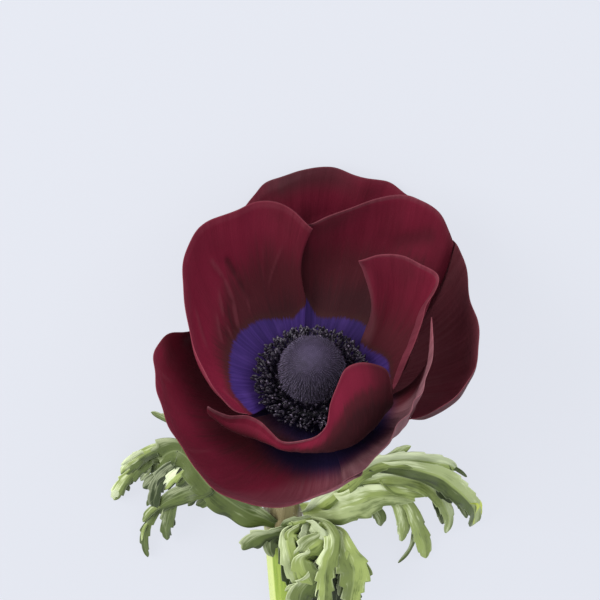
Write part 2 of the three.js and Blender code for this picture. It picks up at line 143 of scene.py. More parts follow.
def sheet(points, thickness):
    """A closed sheet on its middle surface. Returns vertices, quads and 0 for the front or 1 for the back.
    Where it would reach below the floor it is lifted, and lies flat there."""
    rows, columns = points.shape[:2]
    half = surface_normals(points) * (thickness / 2)[..., None]
    front, back = points + half, points - half
    lift = np.maximum(0, np.maximum(-front[..., 2], -back[..., 2]))
    front[..., 2] += lift
    back[..., 2] += lift
    size = rows * columns
    faces = [grid_faces(rows, columns)[:, ::-1], grid_faces(rows, columns, size)]
    loop = np.concatenate([
        np.arange(columns), np.arange(1, rows) * columns + columns - 1,
        size - 2 - np.arange(columns - 1), np.arange(rows - 2, 0, -1) * columns])
    after = np.roll(loop, -1)
    faces.append(np.stack([loop, after, after + size, loop + size], 1))
    vertices = np.concatenate([front.reshape(-1, 3), back.reshape(-1, 3)])
    side = np.repeat([0.0, 1.0], size)
    return vertices, np.concatenate(faces), side


def make_piece(name, vertices, faces, material, values, replaces=()):
    """A smooth mesh piece from vertices in mm, lists of faces, and per-vertex values for its material."""
    mesh = bpy.data.meshes.new(name)
    mesh.from_pydata((np.asarray(vertices) * MM).tolist(), [], [f for part in faces for f in part.tolist()])
    for key, value in values.items():
        attribute = mesh.attributes.new(key, "FLOAT", "POINT")
        attribute.data.foreach_set("value", np.asarray(value, np.float32))
    mesh.polygons.foreach_set("use_smooth", np.ones(len(mesh.polygons), bool))
    mesh.update()
    mesh.validate()
    obj = bpy.data.objects.new(name, mesh)
    bpy.context.scene.collection.objects.link(obj)
    obj.data.materials.append(material)
    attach(obj, "root")
    if replaces:
        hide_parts(*replaces)
    return obj


class Parts:
    """Gathers many small meshes into one."""

    def __init__(self):
        self.vertices, self.faces, self.values, self.count = [], [], {}, 0

    def add(self, vertices, faces, **values):
        self.vertices.append(vertices)
        self.faces.extend(f + self.count for f in faces)
        for key, value in values.items():
            self.values.setdefault(key, []).append(np.broadcast_to(np.asarray(value, float), len(vertices)))
        self.count += len(vertices)

    def make(self, name, material, replaces=()):
        values = {key: np.concatenate(value) for key, value in self.values.items()}
        return make_piece(name, np.concatenate(self.vertices), self.faces, material, values, replaces)


def tube(path, radii, sides, lobes=0, lobe_depth=0):
    """A closed tube along a path, with a fan over each end. Its section may have lobes."""
    path, radii = np.asarray(path, float), np.asarray(radii, float)
    along = unit(np.gradient(path, axis=0))
    hint = np.array([0.3, -0.2, 1.0]) if abs(along[0, 2]) < 0.9 else np.array([1.0, 0, 0])
    side = unit(np.cross(along, hint))
    up = np.cross(side, along)
    angle = np.linspace(0, 2 * math.pi, sides, endpoint=False)
    share = 1 - lobe_depth * (0.5 - 0.5 * np.cos(lobes * angle))
    ring = share[None, :, None] * around(angle, side, up)
    rings = path[:, None] + radii[:, None, None] * ring
    n = len(path)
    vertices = np.concatenate([rings.reshape(-1, 3), path[:1], path[-1:]])
    j = np.arange(sides)
    k = (j + 1) % sides
    first, last = n * sides, n * sides + 1
    ends = [np.stack([k, j, np.full(sides, first)], 1),
            np.stack([(n - 1) * sides + j, (n - 1) * sides + k, np.full(sides, last)], 1)]
    return vertices, [grid_faces(n, sides, wrap=True)] + ends


THREE_WAYS = (0, 2.0944, 4.1888)  # the angles of a hair's three corners


def bristles(roots, tips, width):
    """Many thin three-sided hairs, a vertex at each tip. Returns vertices and faces."""
    n = len(roots)
    along = unit(tips - roots)
    side = unit(np.cross(along, np.array([0.37, 0.21, 0.9])))
    up = np.cross(along, side)
    rings = [roots + width / 2 * (math.cos(a) * side + math.sin(a) * up) for a in THREE_WAYS]
    vertices = np.stack(rings + [tips], 1).reshape(-1, 3)
    base = 4 * np.arange(n)[:, None]
    faces = np.concatenate([base + f for f in ([0, 1, 3], [1, 2, 3], [2, 0, 3], [2, 1, 0])])
    return vertices, [faces]


# ---- Node materials -----------------------------------------------------------------------------------

class Tree:
    """A material and short ways to add its nodes."""

    def __init__(self, name):
        self.material = bpy.data.materials.new(name)
        self.material.use_nodes = True
        self.nodes = self.material.node_tree.nodes
        self.links = self.material.node_tree.links
        self.shader = self.nodes["Principled BSDF"]

    def put(self, socket, value):
        if isinstance(value, bpy.types.NodeSocket):
            self.links.new(value, socket)
        elif isinstance(value, tuple) and len(value) == 3 and socket.type == "RGBA":
            socket.default_value = (*value, 1)
        else:
            socket.default_value = value

    def node(self, kind, out=0, settings=None, **inputs):
        made = self.nodes.new(kind)
        for key, value in (settings or {}).items():
            setattr(made, key, value)
        for key, value in inputs.items():
            self.put(made.inputs[int(key[1:]) if key[0] == "i" and key[1:].isdigit() else key], value)
        return made.outputs[out]

    def value(self, name):
        return self.node("ShaderNodeAttribute", "Fac", {"attribute_name": name})

    def math(self, operation, a, b=0.0, c=0.0):
        return self.node("ShaderNodeMath", 0, {"operation": operation}, i0=a, i1=b, i2=c)

    def times(self, a, b):
        return self.math("MULTIPLY", a, b)

    def sum(self, first, *others):
        for other in others:
            first = self.math("ADD", first, other)
        return first

    def swing(self, x, size):
        """A pattern from 0 to 1, turned to swing round 0 and made size wide."""
        return self.times(self.math("SUBTRACT", x, 0.5), size)

    def step(self, x, low, high, start=0.0, end=1.0):
        """A smooth step from start at x = low to end at x = high."""
        made = self.nodes.new("ShaderNodeMapRange")
        made.interpolation_type = "SMOOTHSTEP"
        inputs = {"Value": x, "From Min": low, "From Max": high, "To Min": start, "To Max": end}
        for key, value in inputs.items():
            self.put(made.inputs[key], value)
        return made.outputs[0]

    def mix(self, share, a, b, blend="MIX"):
        made = self.nodes.new("ShaderNodeMix")
        made.data_type = "RGBA"
        made.blend_type = blend
        self.put(made.inputs[0], share)
        self.put(made.inputs[6], a)
        self.put(made.inputs[7], b)
        return made.outputs[2]

    def vector(self, x, y=0.0, z=0.0):
        return self.node("ShaderNodeCombineXYZ", 0, None, X=x, Y=y, Z=z)

    def noise(self, vector, scale, detail=3.0, roughness=0.5):
        made = self.nodes.new("ShaderNodeTexNoise")
        inputs = {"Vector": vector, "Scale": scale, "Detail": detail, "Roughness": roughness}
        for key, value in inputs.items():
            self.put(made.inputs[key], value)
        return made.outputs[0]

    def flow(self, across, fineness, along, length, seed, detail, roughness):
        """Noise stretched along a leaf, petal or stem."""
        return self.noise(self.vector(self.times(across, fineness), self.times(along, length), seed),
                          1.0, detail, roughness)

    def place(self):
        return self.node("ShaderNodeTexCoord", "Object")

    def bump(self, height, strength, distance):
        return self.node("ShaderNodeBump", 0, None, Strength=strength, Distance=distance, Height=height)

    def finish(self, **sockets):
        for key, value in sockets.items():
            self.put(self.shader.inputs[key.replace("_", " ")], value)
        return self.material


# ---- Petals -------------------------------------------------------------------------------------------

FIRST_PETAL_SEED = 40
CLAW_RADIUS = 5  # inner end of every petal, measured from the flower's axis
CLAW_DROP = 0.6  # how far below the heart the innermost petals start
LAYER_PITCH = 1.15  # drop along the axis from one layer of petals to the next
PETAL_BODY = 0.46  # thickness in the middle of a petal
PETAL_EDGE = 0.16  # thickness at its rim
PETAL_COLUMNS = 112
PETAL_ROWS = 84
PETAL_LENGTH = 38  # of an average petal, from claw to rim
RIM_CROWDING = 1.15  # above 1 the rows lie closer together near the rim
SIDE_BAND = 3.5  # width of the rolled side margins
BOW_BAND = 5  # width of the side margins that bend sideways
KNOT_STEPS = 20  # stations from one point of a rim to the next
RUFFLE_HEIGHT, RUFFLE_LENGTH = 0.34, 9
PLEAT_HEIGHT = 0.11
DENT_HEIGHT = 0.3
CALM_REACH = 7  # columns on each side over which normals are averaged
FOOT_STRETCH = 0.92  # radius gained for each mm along the petal, where the violet foot is measured
STREAK_UNIT = 45  # width that the patterns across a petal repeat their scale on

# Each petal is a sheet from its claw, over its belly, to its rim, as (azimuth, radius, height) from one side
# to the other. Of the claw only the azimuths of its two sides are given. Layer 0 is the innermost. In the
# other tables k counts along the points of the rim, and v goes from 0 at the claw to 1 at the rim:
#   roll      (k, width of the band along the rim that rolls outwards, how far it rolls)
#   sides     how far the petal's first and last side margins roll outwards, or inwards where below 0
#   bow       how far the two side margins bend sideways
#   bow_from  v above which they do, 0.5 unless given
#   folds     (k, v, k, v, width, height) of a fold from one point to another; a negative height is a crease. A fold is painted paler on its ridge as a painted highlight, and darker in a crease as painted shade
#   pale      (k, how pale the rim is painted, a painted sheen where the margin turns to the light, how far that reaches)
#   violet    (k, radius from the axis to which the violet foot reaches)
#   glow      (k, how bright crimson the petal is painted: painted light where it faces the lamps, painted shade where it turns away)
#   deep      (k, distances from the rim between which it darkens towards its foot, as painted shade deep in the cup)
#   ruffle    how wavy its rim is
#   boost     (k, factor on its brightness, painted light above 1 and painted shade below 1)
#   outside   factor on the brightness of its outer face
#   dull      how dull its red is
#   stripe    how pale its last side margin is painted, a painted sheen on the margin that turns outwards
#   night     how dark the violet foot is painted, as painted shade, strongest on the lower petals
#   dusk      (k, how grey-brown the upper part is)
PETALS = [
    {
        "name": "petal_upper_left", "layer": 0, "claw": [115, 175],
        "belly": [[94, 21, 7.5], [115, 25, 8.5], [135, 28, 9], [160, 27, 8], [185, 24, 6.5], [213, 16, 3.5]],
        "rim": [[90, 28, 30], [98, 32.5, 32], [106, 36, 32.5], [112, 37.5, 32], [119, 37.5, 31.5],
            [131, 39.5, 30.5], [138, 39.3, 30], [151, 36, 29], [167, 31.5, 27], [182, 29, 22],
            [193, 27, 18.5], [203, 25, 14.5], [213, 23, 11.5], [219, 20, 10]],
        "roll": [(0, 2, 0.3), (6, 2, 0.3), (7.5, 5, 1.4), (9, 8, 3.2), (11, 7.5, 3.2), (13, 4, 1.6)],
        "sides": (0.5, 0), "bow": (2.0, 0),
        "folds": [(5.3, 0.80, 4.9, 0.64, 0.7, 0.45), (4.9, 0.64, 5.0, 0.50, 0.7, 0.5),
            (5.0, 0.50, 6.2, 0.35, 0.7, 0.5), (5.5, 0.62, 6.9, 0.33, 0.6, 0.45),
            (6.4, 0.54, 7.3, 0.40, 0.6, 0.35), (4.1, 0.58, 4.6, 0.38, 0.5, 0.3),
            (4.6, 0.76, 4.4, 0.61, 1.2, -0.5), (4.4, 0.61, 4.2, 0.46, 1.0, -0.4),
            (5.45, 0.52, 6.5, 0.35, 0.7, -0.45), (6.1, 0.50, 7.0, 0.37, 0.7, -0.35),
            (2.5, 0.78, 2.9, 0.52, 0.5, 0.2), (1.3, 0.80, 2.7, 0.50, 0.5, 0.28),
            (7.1, 0.74, 7.9, 0.50, 1.2, 0.3), (9.6, 0.44, 12, 0.64, 0.9, 0.3)],
        "deep": [(0, 7, 18), (2.5, 10, 22), (4.5, 12, 24), (5.2, 18, 29), (7.6, 21, 28), (9.5, 16, 22),
            (11.4, 9, 14), (13, 5, 9)],
        "ruffle": 0.8,
        "pale": [(0, 0.1, 2), (7, 0.1, 2), (9, 0.2, 3), (13, 0.3, 2)],
        "violet": [(0, 22.5), (0.5, 18.2), (1.6, 19.1), (3.4, 20.5), (4.6, 21.8), (6.4, 22.6), (7.4, 22),
            (8.6, 20.7), (10.7, 20), (13, 19.5)],
        "painted_light": [(0, 0.6), (2, 0.8), (4, 1), (8, 1.2), (10, 1.4), (13, 1.2)],
        "painted_brightness": [(0, 0.93), (2, 0.82), (3, 0.8), (4.5, 0.92), (7, 1), (8.5, 1.25), (9.5, 1.45), (12, 1.45),
            (13, 1.3)],
        "painted_foot_shade": 0.0,
    },
    {
        "name": "petal_inner_right", "layer": 0, "claw": [-8, 34],
        "belly": [[342, 18, 5], [0, 21, 8], [18, 23, 10], [31, 21.7, 9.2], [43, 19.6, 8.8]],
        "rim": [[338, 22.2, 17], [345, 23.3, 22.5], [353, 24.7, 28], [4, 26.6, 31], [10, 28, 33.4],
            [14, 30.4, 36], [19, 31.6, 38], [27, 28.7, 38.8], [35, 26.1, 39.2], [45, 22, 38.6],
            [53, 18.5, 36.3]],
        "roll": [(0, 5, 2.4), (2, 6, 3.4), (4, 5, 2.6), (5.6, 3, 0.8), (6.4, 1.8, 0.2), (10, 2, 0.1)],
        "sides": (0.3, 1.8), "bow": (0, 2.1), "bow_from": 0.3, "folds": [(3.4, 0.8, 4.0, 0.45, 1.2, -0.3)],
        "deep": [(0, 5, 14), (4, 6, 22), (8, 14, 34), (10, 14, 32)], "ruffle": 0.1,
        "pale": [(0, 0.2, 7), (4, 0.2, 7), (5.5, 0.25, 1.5), (10, 0.25, 0.8)],
        "stripe": 0.22,
        "violet": [(0, 19.5), (2.9, 19.9), (4.3, 20.1), (5.8, 19.5), (7, 18.4), (8.5, 17.1), (10, 16.5)],
        "painted_light": [(0, 0.7), (5, 0.8), (10, 0.8)], "painted_foot_shade": 0.0,
    },
    {
        "name": "petal_upper_right", "layer": 1, "claw": [40, 95],
        "belly": [[28, 26.5, 5.5], [50, 29, 7], [74, 28.5, 8.5], [96, 24.5, 5.5]],
        "rim": [[38, 44.1, 24.2], [41, 44.9, 26.5], [46, 45.5, 29.5], [53, 44.5, 31.5], [58, 43.5, 32],
            [66, 38.7, 32.3], [75, 34, 32], [83, 31.3, 31], [90, 30.2, 29.3], [95, 31.5, 26.5]],
        "roll": [(0, 2, 0.4), (9, 2, 0.2)], "sides": (2.2, 0.8), "bow": (0, 0),
        "folds": [(1.6, 0.93, 4.4, 0.72, 2.2, -0.35)],
        "deep": [(0, 8, 20), (3, 12, 22), (4, 14, 22), (6, 12, 21), (9, 4, 14)],
        "ruffle": 0.8,
        "pale": [(0, 0.05, 1), (4, 0.3, 1), (9, 0.3, 1)],
        "violet": [(0, 18), (3.5, 21.8), (4.3, 21.6), (5.3, 20.1), (6.3, 19.4), (7.5, 19.4), (8.2, 22),
            (9, 25)],
        "painted_light": [(0, 0.4), (2, 1.0), (4, 0.9), (6, 0.7), (9, 0.5)],
        "painted_brightness": [(0, 0.9), (1.2, 0.62), (2, 0.7), (2.7, 0.84), (3.7, 0.88), (5, 0.85), (6.3, 0.98), (9, 1)],
        "painted_foot_shade": 0.25,
    },
    {
        "name": "petal_inner_lower", "layer": 1, "claw": [235, 300],
        "belly": [[213, 25, 8.5], [225, 23.4, 7.5], [240, 20.9, 6.8], [255, 20.6, 6.8], [270, 21.4, 7.7],
            [285, 22.5, 9], [305, 22.5, 10], [326, 20, 8.5]],
        "rim": [[211, 29.5, 19.2], [214, 28.4, 18], [219, 26, 16], [225, 22.3, 15], [233, 21.2, 14.5],
            [243, 22.3, 14.8], [252, 23.8, 15.6], [262, 24, 17.5], [272, 24, 20.7], [279, 22.3, 24],
            [283, 19.3, 27.3], [291, 16.3, 30.3], [303, 14.2, 32.2], [315, 15.3, 33], [322, 18, 33],
            [326, 21, 31.5], [324, 22.9, 28.5], [322, 23.5, 25.5]],
        "roll": [(0, 1.6, 0.9), (2, 2.4, 1.7), (5, 2, 0.9), (8, 2, 0.5), (17, 2, 0.3)],
        "sides": (0, 0), "bow": (0, 0),
        "deep": [(0, 2.5, 6), (5, 2.5, 6), (8, 3, 6.5), (10, 5, 9), (12, 7, 10.5), (13.5, 6, 9.5),
            (15, 3.5, 7.5), (17, 1, 5)],
        "ruffle": 0.5,
        "folds": [(9.0, 0.86, 10.0, 0.55, 1.4, -0.35), (10.5, 0.9, 11.5, 0.5, 1.2, -0.25),
            (7, 0.9, 7.4, 0.6, 1.2, 0.25)],
        "pale": [(0, 0.8, 1.2), (3, 0.3, 0.8), (6, 0.35, 0.7), (7.2, 0.7, 1.1), (8.6, 0.2, 0.8),
            (17, 0.1, 0.8)],
        "violet": [(0, 14), (4, 15), (8, 18), (17, 17)],
        "painted_light": [(0, 0.6), (6, 0.9), (10, 1.2), (13, 1.0), (15, 0.3), (17, 0.1)],
        "painted_brightness": [(0, 0.95), (3, 0.85), (8, 1.15), (11, 1.08), (12.3, 0.9), (13.5, 0.7), (15, 0.5),
            (17, 0.45)],
        "painted_foot_shade": 0.9,
    },
    {
        "name": "petal_lower_right", "layer": 2, "claw": [-76, -18],
        "belly": [[287, 21.5, 1.8], [300, 23.5, 4.5], [325, 25, 7.5], [352, 24.5, 8.2]],
        "rim": [[283, 31.6, 9.5], [290, 32.2, 14], [297, 32.2, 18], [305, 31.7, 21.5], [312, 30.1, 24],
            [319, 30.8, 25.5], [324, 29.8, 26], [330, 30.6, 27], [336, 29.6, 28.5], [344, 29.5, 30],
            [353, 29.1, 31.5], [3, 28.3, 33.3]],
        "roll": [(0, 6, 1.0), (2, 8, 2.0), (5, 9, 2.8), (7, 9, 3.0), (8.5, 6, 2.0), (11, 2, 0.3)],
        "sides": (0.2, 0), "bow": (0, 0), "folds": [],
        "deep": [(0, 10, 18), (6, 20, 28), (11, 10, 20)], "ruffle": 0.6,
        "pale": [(0, 0.7, 9), (1.1, 0.85, 13), (2.3, 0.85, 16), (4, 0.9, 19), (6, 0.95, 22), (7, 1, 24),
            (9, 0.9, 26), (10, 0.5, 16), (11, 0.4, 6)],
        "violet": [(0, 24), (5, 25), (9, 21), (11, 19)], "painted_light": [(0, 0.1), (11, 0.3)],
        "painted_brightness": [(0, 1.2), (1, 1), (4, 1), (7, 1.4), (9, 1.3), (11, 1.7)],
        "painted_foot_shade": 0.92,
    },
    {
        "name": "petal_top", "layer": 2, "claw": [65, 118],
        "belly": [[60, 29.5, 4.5], [90, 31.5, 6], [118, 28, 6.3]],
        "rim": [[57, 50, 20.5], [61, 49.4, 22.2], [66, 49, 24.7], [70, 47.8, 26.3], [77, 46.4, 28],
            [84, 47, 29.3], [93, 46, 29.2], [99, 45.7, 27.5], [105, 46, 25.5], [109, 44.5, 23.5],
            [115, 43, 20]],
        "roll": [(0, 2, 0.3), (6, 3, 0.6), (10, 2, 0.3)], "sides": (0, 0),
        "bow": (0, 0),
        "folds": [(7.4, 0.99, 6.6, 0.86, 0.8, 0.15), (8.2, 0.98, 7.6, 0.86, 0.8, 0.15)],
        "deep": [(0, 16, 30), (10, 16, 30)], "ruffle": 1.0,
        "pale": [(0, 0.1, 1), (5, 0.05, 1), (7, 0.15, 3), (9, 0.15, 3), (10, 0.1, 1)],
        "violet": [(0, 18), (5, 20), (10, 18)], "painted_light": [(0, 0.9), (5, 0.8), (10, 1.0)],
        "dusk": [(0, 0), (3, 0), (4.8, 0.6), (7.6, 0.8), (9, 0)],
        "painted_brightness": [(0, 0.95), (4, 0.92), (5, 0.76), (8, 0.72), (10, 0.86)],
        "painted_foot_shade": 0.3,
    },
    {
        "name": "petal_lower_left", "layer": 3, "claw": [190, 296],
        "belly": [[158, 28.3, 3.8], [178, 29.5, 4.6], [200, 31, 5], [230, 32, 3.5], [258, 29.5, 1.5],
            [282, 25.5, -0.6], [300, 23.5, -0.8]],
        "rim": [[157, 29.6, 9], [165, 32.5, 13.5], [169, 35.3, 16], [175, 37.2, 18.5], [181, 38.2, 20.5],
            [190, 38.6, 22], [206, 40, 22.5], [218, 40.8, 21], [229, 42, 18.8], [238, 43, 17],
            [249, 42.3, 16.2], [258, 41, 15.4], [264, 38.7, 14], [270, 36, 12], [277, 33, 10], [284, 31, 8],
            [290, 29.5, 6.5]],
        "roll": [(0, 2, 0.3), (5, 4, 1.2), (10, 6, 1.6), (14, 6, 1.2), (16, 3, 0.3)],
        "sides": (0, 0), "bow": (0, 0),
        "deep": [(0, 3, 9), (2, 7, 14), (4.5, 15, 27), (7, 20, 31), (9.5, 19, 30), (12, 19, 27),
            (16, 14, 20)],
        "ruffle": 0.7,
        "folds": [(4.5, 0.88, 4.0, 0.66, 0.8, 0.3), (6.8, 0.8, 6.6, 0.46, 0.8, 0.3),
            (11, 0.98, 10.6, 0.7, 1.8, -0.2)],
        "pale": [(0, 0.05, 1), (5, 0.1, 1.5), (8, 0.1, 4), (10.5, 0.3, 24), (13, 0.45, 22), (16, 0.7, 16)],
        "violet": [(0, 16), (6, 17), (10, 23), (16, 24)],
        "painted_light": [(0, 0.4), (5, 0.9), (10, 0.9), (13, 0.7), (16, 0.3)],
        "painted_brightness": [(0, 1.1), (3, 1.2), (5, 1.2), (6, 1.0), (8, 0.82), (11, 0.92), (13.2, 1.5), (16, 1.3)],
        "painted_foot_shade": 0.95,
    },
    {
        "name": "petal_right", "layer": 3, "claw": [-20, 40],
        "belly": [[334, 25.2, 5.0], [350, 31, 4.5], [10, 32.5, 6], [38, 31, 4.8], [46, 30.2, 4.4]],
        "rim": [[320, 28.6, 18.0], [326, 31.4, 18.4], [331, 35, 22.5], [338, 38, 25], [346, 39.5, 26.3],
            [356, 40, 27], [6, 40, 27], [15, 39.5, 26.5], [24, 41.5, 26], [33, 44, 24.7], [40, 45.1, 23.6],
            [46, 43.5, 22.5]],
        "roll": [(0, 2, 0.1), (11, 2, 0.1)], "sides": (-0.9, 0), "bow": (0, 0),
        "folds": [], "deep": [(0, 14, 34), (11, 14, 34)], "ruffle": 0.4,
        "painted_brightness": [(0, 1.4), (1.5, 1.6), (3, 2.0), (5, 1.7), (7.5, 1.5), (8.4, 1.15), (9.3, 0.95), (11, 0.9)],
        "dull": 0.16, "pale": [(0, 0.05, 1), (11, 0.05, 1)], "violet": [(0, 18), (11, 18)],
        "painted_light": [(0, 0.6), (3, 0.2), (11, 0.05)], "painted_foot_shade": 0.4, "outside": 0.35,
    },
]


def fold_relief(folds, kk, v, width, knots):
    """The heights of the folds from (k, v) to (k, v), over a petal width mm wide."""
    total = np.zeros(np.broadcast(kk, v).shape)
    x, y = np.interp(kk, np.arange(len(knots)), knots) * width, v * PETAL_LENGTH
    for k0, v0, k1, v1, spread, height in folds:
        x0, x1 = (np.interp(k, np.arange(len(knots)), knots) * width for k in (k0, k1))
        y0, y1 = v0 * PETAL_LENGTH, v1 * PETAL_LENGTH
        share = ((x - x0) * (x1 - x0) + (y - y0) * (y1 - y0)) / ((x1 - x0) ** 2 + (y1 - y0) ** 2)
        gap = np.hypot(x - x0 - share * (x1 - x0), y - y0 - share * (y1 - y0))
        fold = height * np.exp(-(gap / spread) ** 2)
        total += fold * smooth(-0.15, 0.25, share) * smooth(1.15, 0.7, share)
    return total


def waves(random, u, v, count, across, along):
    """A smooth relief between about -1 and 1, from waves with that many crests across and along a petal."""
    total = np.zeros(np.broadcast(u, v).shape)
    for _ in range(count):
        a, b = random.uniform(0.5, 1.0) * across, random.uniform(-1.0, 1.0) * along
        total += np.sin(2 * math.pi * (a * u + b * v + random.uniform())) * random.uniform(0.5, 1.0)
    return total / math.sqrt(count)


def calm(normals):
    """Normals averaged over a few columns, so that a bent margin rolls evenly."""
    whole = np.pad(normals, ((0, 0), (CALM_REACH, CALM_REACH), (0, 0)), "edge")
    count = normals.shape[1]
    return unit(sum(whole[:, i:i + count] for i in range(2 * CALM_REACH + 1)))


def through(start, belly, rim, v):
    """A sheet from start at v = 0 through belly at 0.5 to rim at 1."""
    return start * (1 - v) * (1 - 2 * v) + belly * 4 * v * (1 - v) + rim * v * (2 * v - 1)


def along_rim(table, column, kk):
    """The values at kk in one column of a table by k."""
    return at([(row[0], row[column]) for row in table], kk)


def petal_piece(petal, material, number):
    random = np.random.default_rng(FIRST_PETAL_SEED + number)
    u = np.linspace(0, 1, PETAL_COLUMNS)
    v = 1 - (1 - np.linspace(0, 1, PETAL_ROWS)) ** RIM_CROWDING
    claw_height = -CLAW_DROP - petal["layer"] * LAYER_PITCH
    start = polar(np.interp(u, [0, 1], petal["claw"]), CLAW_RADIUS, claw_height)
    belly = curve_by_length(polar(*np.array(petal["belly"], float).T), u)
    rim_points = polar(*np.array(petal["rim"], float).T)
    rim = curve_by_length(rim_points, u)
    stations = KNOT_STEPS * (len(rim_points) - 1) + 1
    whole = run_of(curve(rim_points, np.linspace(0, 1, stations)))
    knots = whole[::KNOT_STEPS] / whole[-1]
    width = whole[-1]
    uu, vv = u[None, :], v[:, None]
    kk = np.interp(uu, knots, np.arange(len(knots)))
    w = vv[..., None]
    points = through(start, belly, rim, w)
    inward = np.sign(np.sum(surface_normals(points) * AXIS_UP, axis=-1).mean())
    span, roll = (along_rim(petal["roll"], column, kk) for column in (1, 2))
    rim = rim + inward * calm(surface_normals(points))[-1] * roll[0][:, None]
    points = through(start, belly, rim, w)
    normal = calm(surface_normals(points)) * inward
    arc = np.cumsum(np.linalg.norm(np.diff(points, axis=0, prepend=points[:1]), axis=-1), axis=0)
    from_rim = arc[-1:] - arc
    rolled = roll * np.clip(1 - from_rim / span, 0, 1) ** 1.3
    for side, far in zip(petal["sides"], (uu * width, (1 - uu) * width)):
        band = np.clip(1 - far / SIDE_BAND, 0, 1) ** 1.7
        rolled = rolled + side * band * smooth(0.3, 0.6, vv) * smooth(1.05, 0.9, vv)
    ruffle = waves(random, uu, 0.3 * vv, 5, width / RUFFLE_LENGTH, 1) * RUFFLE_HEIGHT * petal["ruffle"]
    ruffle = ruffle * smooth(0.6, 1, vv)
    pleats = waves(random, uu, 0.15 * vv, 6, 11, 0.6) * PLEAT_HEIGHT
    pleats = pleats * smooth(0.25, 0.6, vv) * smooth(1, 0.7, vv)
    dents = waves(random, uu, vv, 5, 2.2, 1.8) * DENT_HEIGHT * smooth(0.2, 0.6, vv) * smooth(1, 0.8, vv)
    folds = fold_relief(petal["folds"], kk, vv, width, knots)
    points = points + normal * (folds - rolled + ruffle + pleats + dents)[..., None]
    across = unit(np.gradient(points, axis=1))
    bow_from = petal.get("bow_from", 0.5)
    swell = np.sin(math.pi * np.clip((vv - bow_from) / (1 - bow_from), 0, 1))
    first, last = (np.exp(-(far * width / BOW_BAND) ** 2) for far in (uu, 1 - uu))
    sway = petal["bow"][0] * first + petal["bow"][1] * last
    points = points + across * (sway * swell)[..., None]
    side_edge = np.minimum(uu, 1 - uu) * width
    edge = np.minimum(side_edge, (1 - vv) * PETAL_LENGTH)
    thickness = PETAL_EDGE + (PETAL_BODY - PETAL_EDGE) * smooth(0, 7, edge)
    vertices, faces, side = sheet(points, thickness)
    back = side if inward > 0 else 1 - side
    from_heart = points - HEART
    height = np.sum(from_heart * AXIS_UP, axis=-1, keepdims=True)
    radius = np.linalg.norm(from_heart - height * AXIS_UP, axis=-1)
    deep_from, deep_to = (along_rim(petal["deep"], column, kk) for column in (1, 2))
    one = np.ones((len(v), len(u)))
    pale, reach = (along_rim(petal["pale"], column, kk) for column in (1, 2))
    stripe = petal.get("stripe", 0) * smooth(1.2, 0.6, (1 - uu) * width / (0.6 + 9 * (1 - vv)))
    values = {
        "pu": uu * one * width / STREAK_UNIT, "pv": vv * one, "rim": from_rim, "rho": radius,
        "zone": np.maximum(radius, CLAW_RADIUS + FOOT_STRETCH * arc) - at(petal["violet"], kk),
        "painted_foot_shade": petal["painted_foot_shade"] * one, "fold": folds, "painted_light": at(petal["painted_light"], kk) * one,
        "deep": (from_rim - deep_from) / (deep_to - deep_from),
        "painted_brightness": at(petal.get("painted_brightness", [(0, 1), (1, 1)]), kk) * one,
        "dusk": at(petal.get("dusk", [(0, 0), (1, 0)]), kk) * smooth(9, 2, from_rim),
        "pale": np.maximum(pale * smooth(1.2, 0.75, from_rim / reach), stripe),
        "dull": petal.get("dull", 0.03) * one,
    }
    values = {key: np.tile(value.ravel(), 2) for key, value in values.items()}
    values["back"] = back
    values["painted_brightness"] = values["painted_brightness"] * np.where(back > 0.5, petal.get("outside", 1), 1)
    values["turn"] = np.full(len(vertices), float(number))
    return make_piece(petal["name"] + "_skin", vertices, [faces], material, values, [petal["name"]])


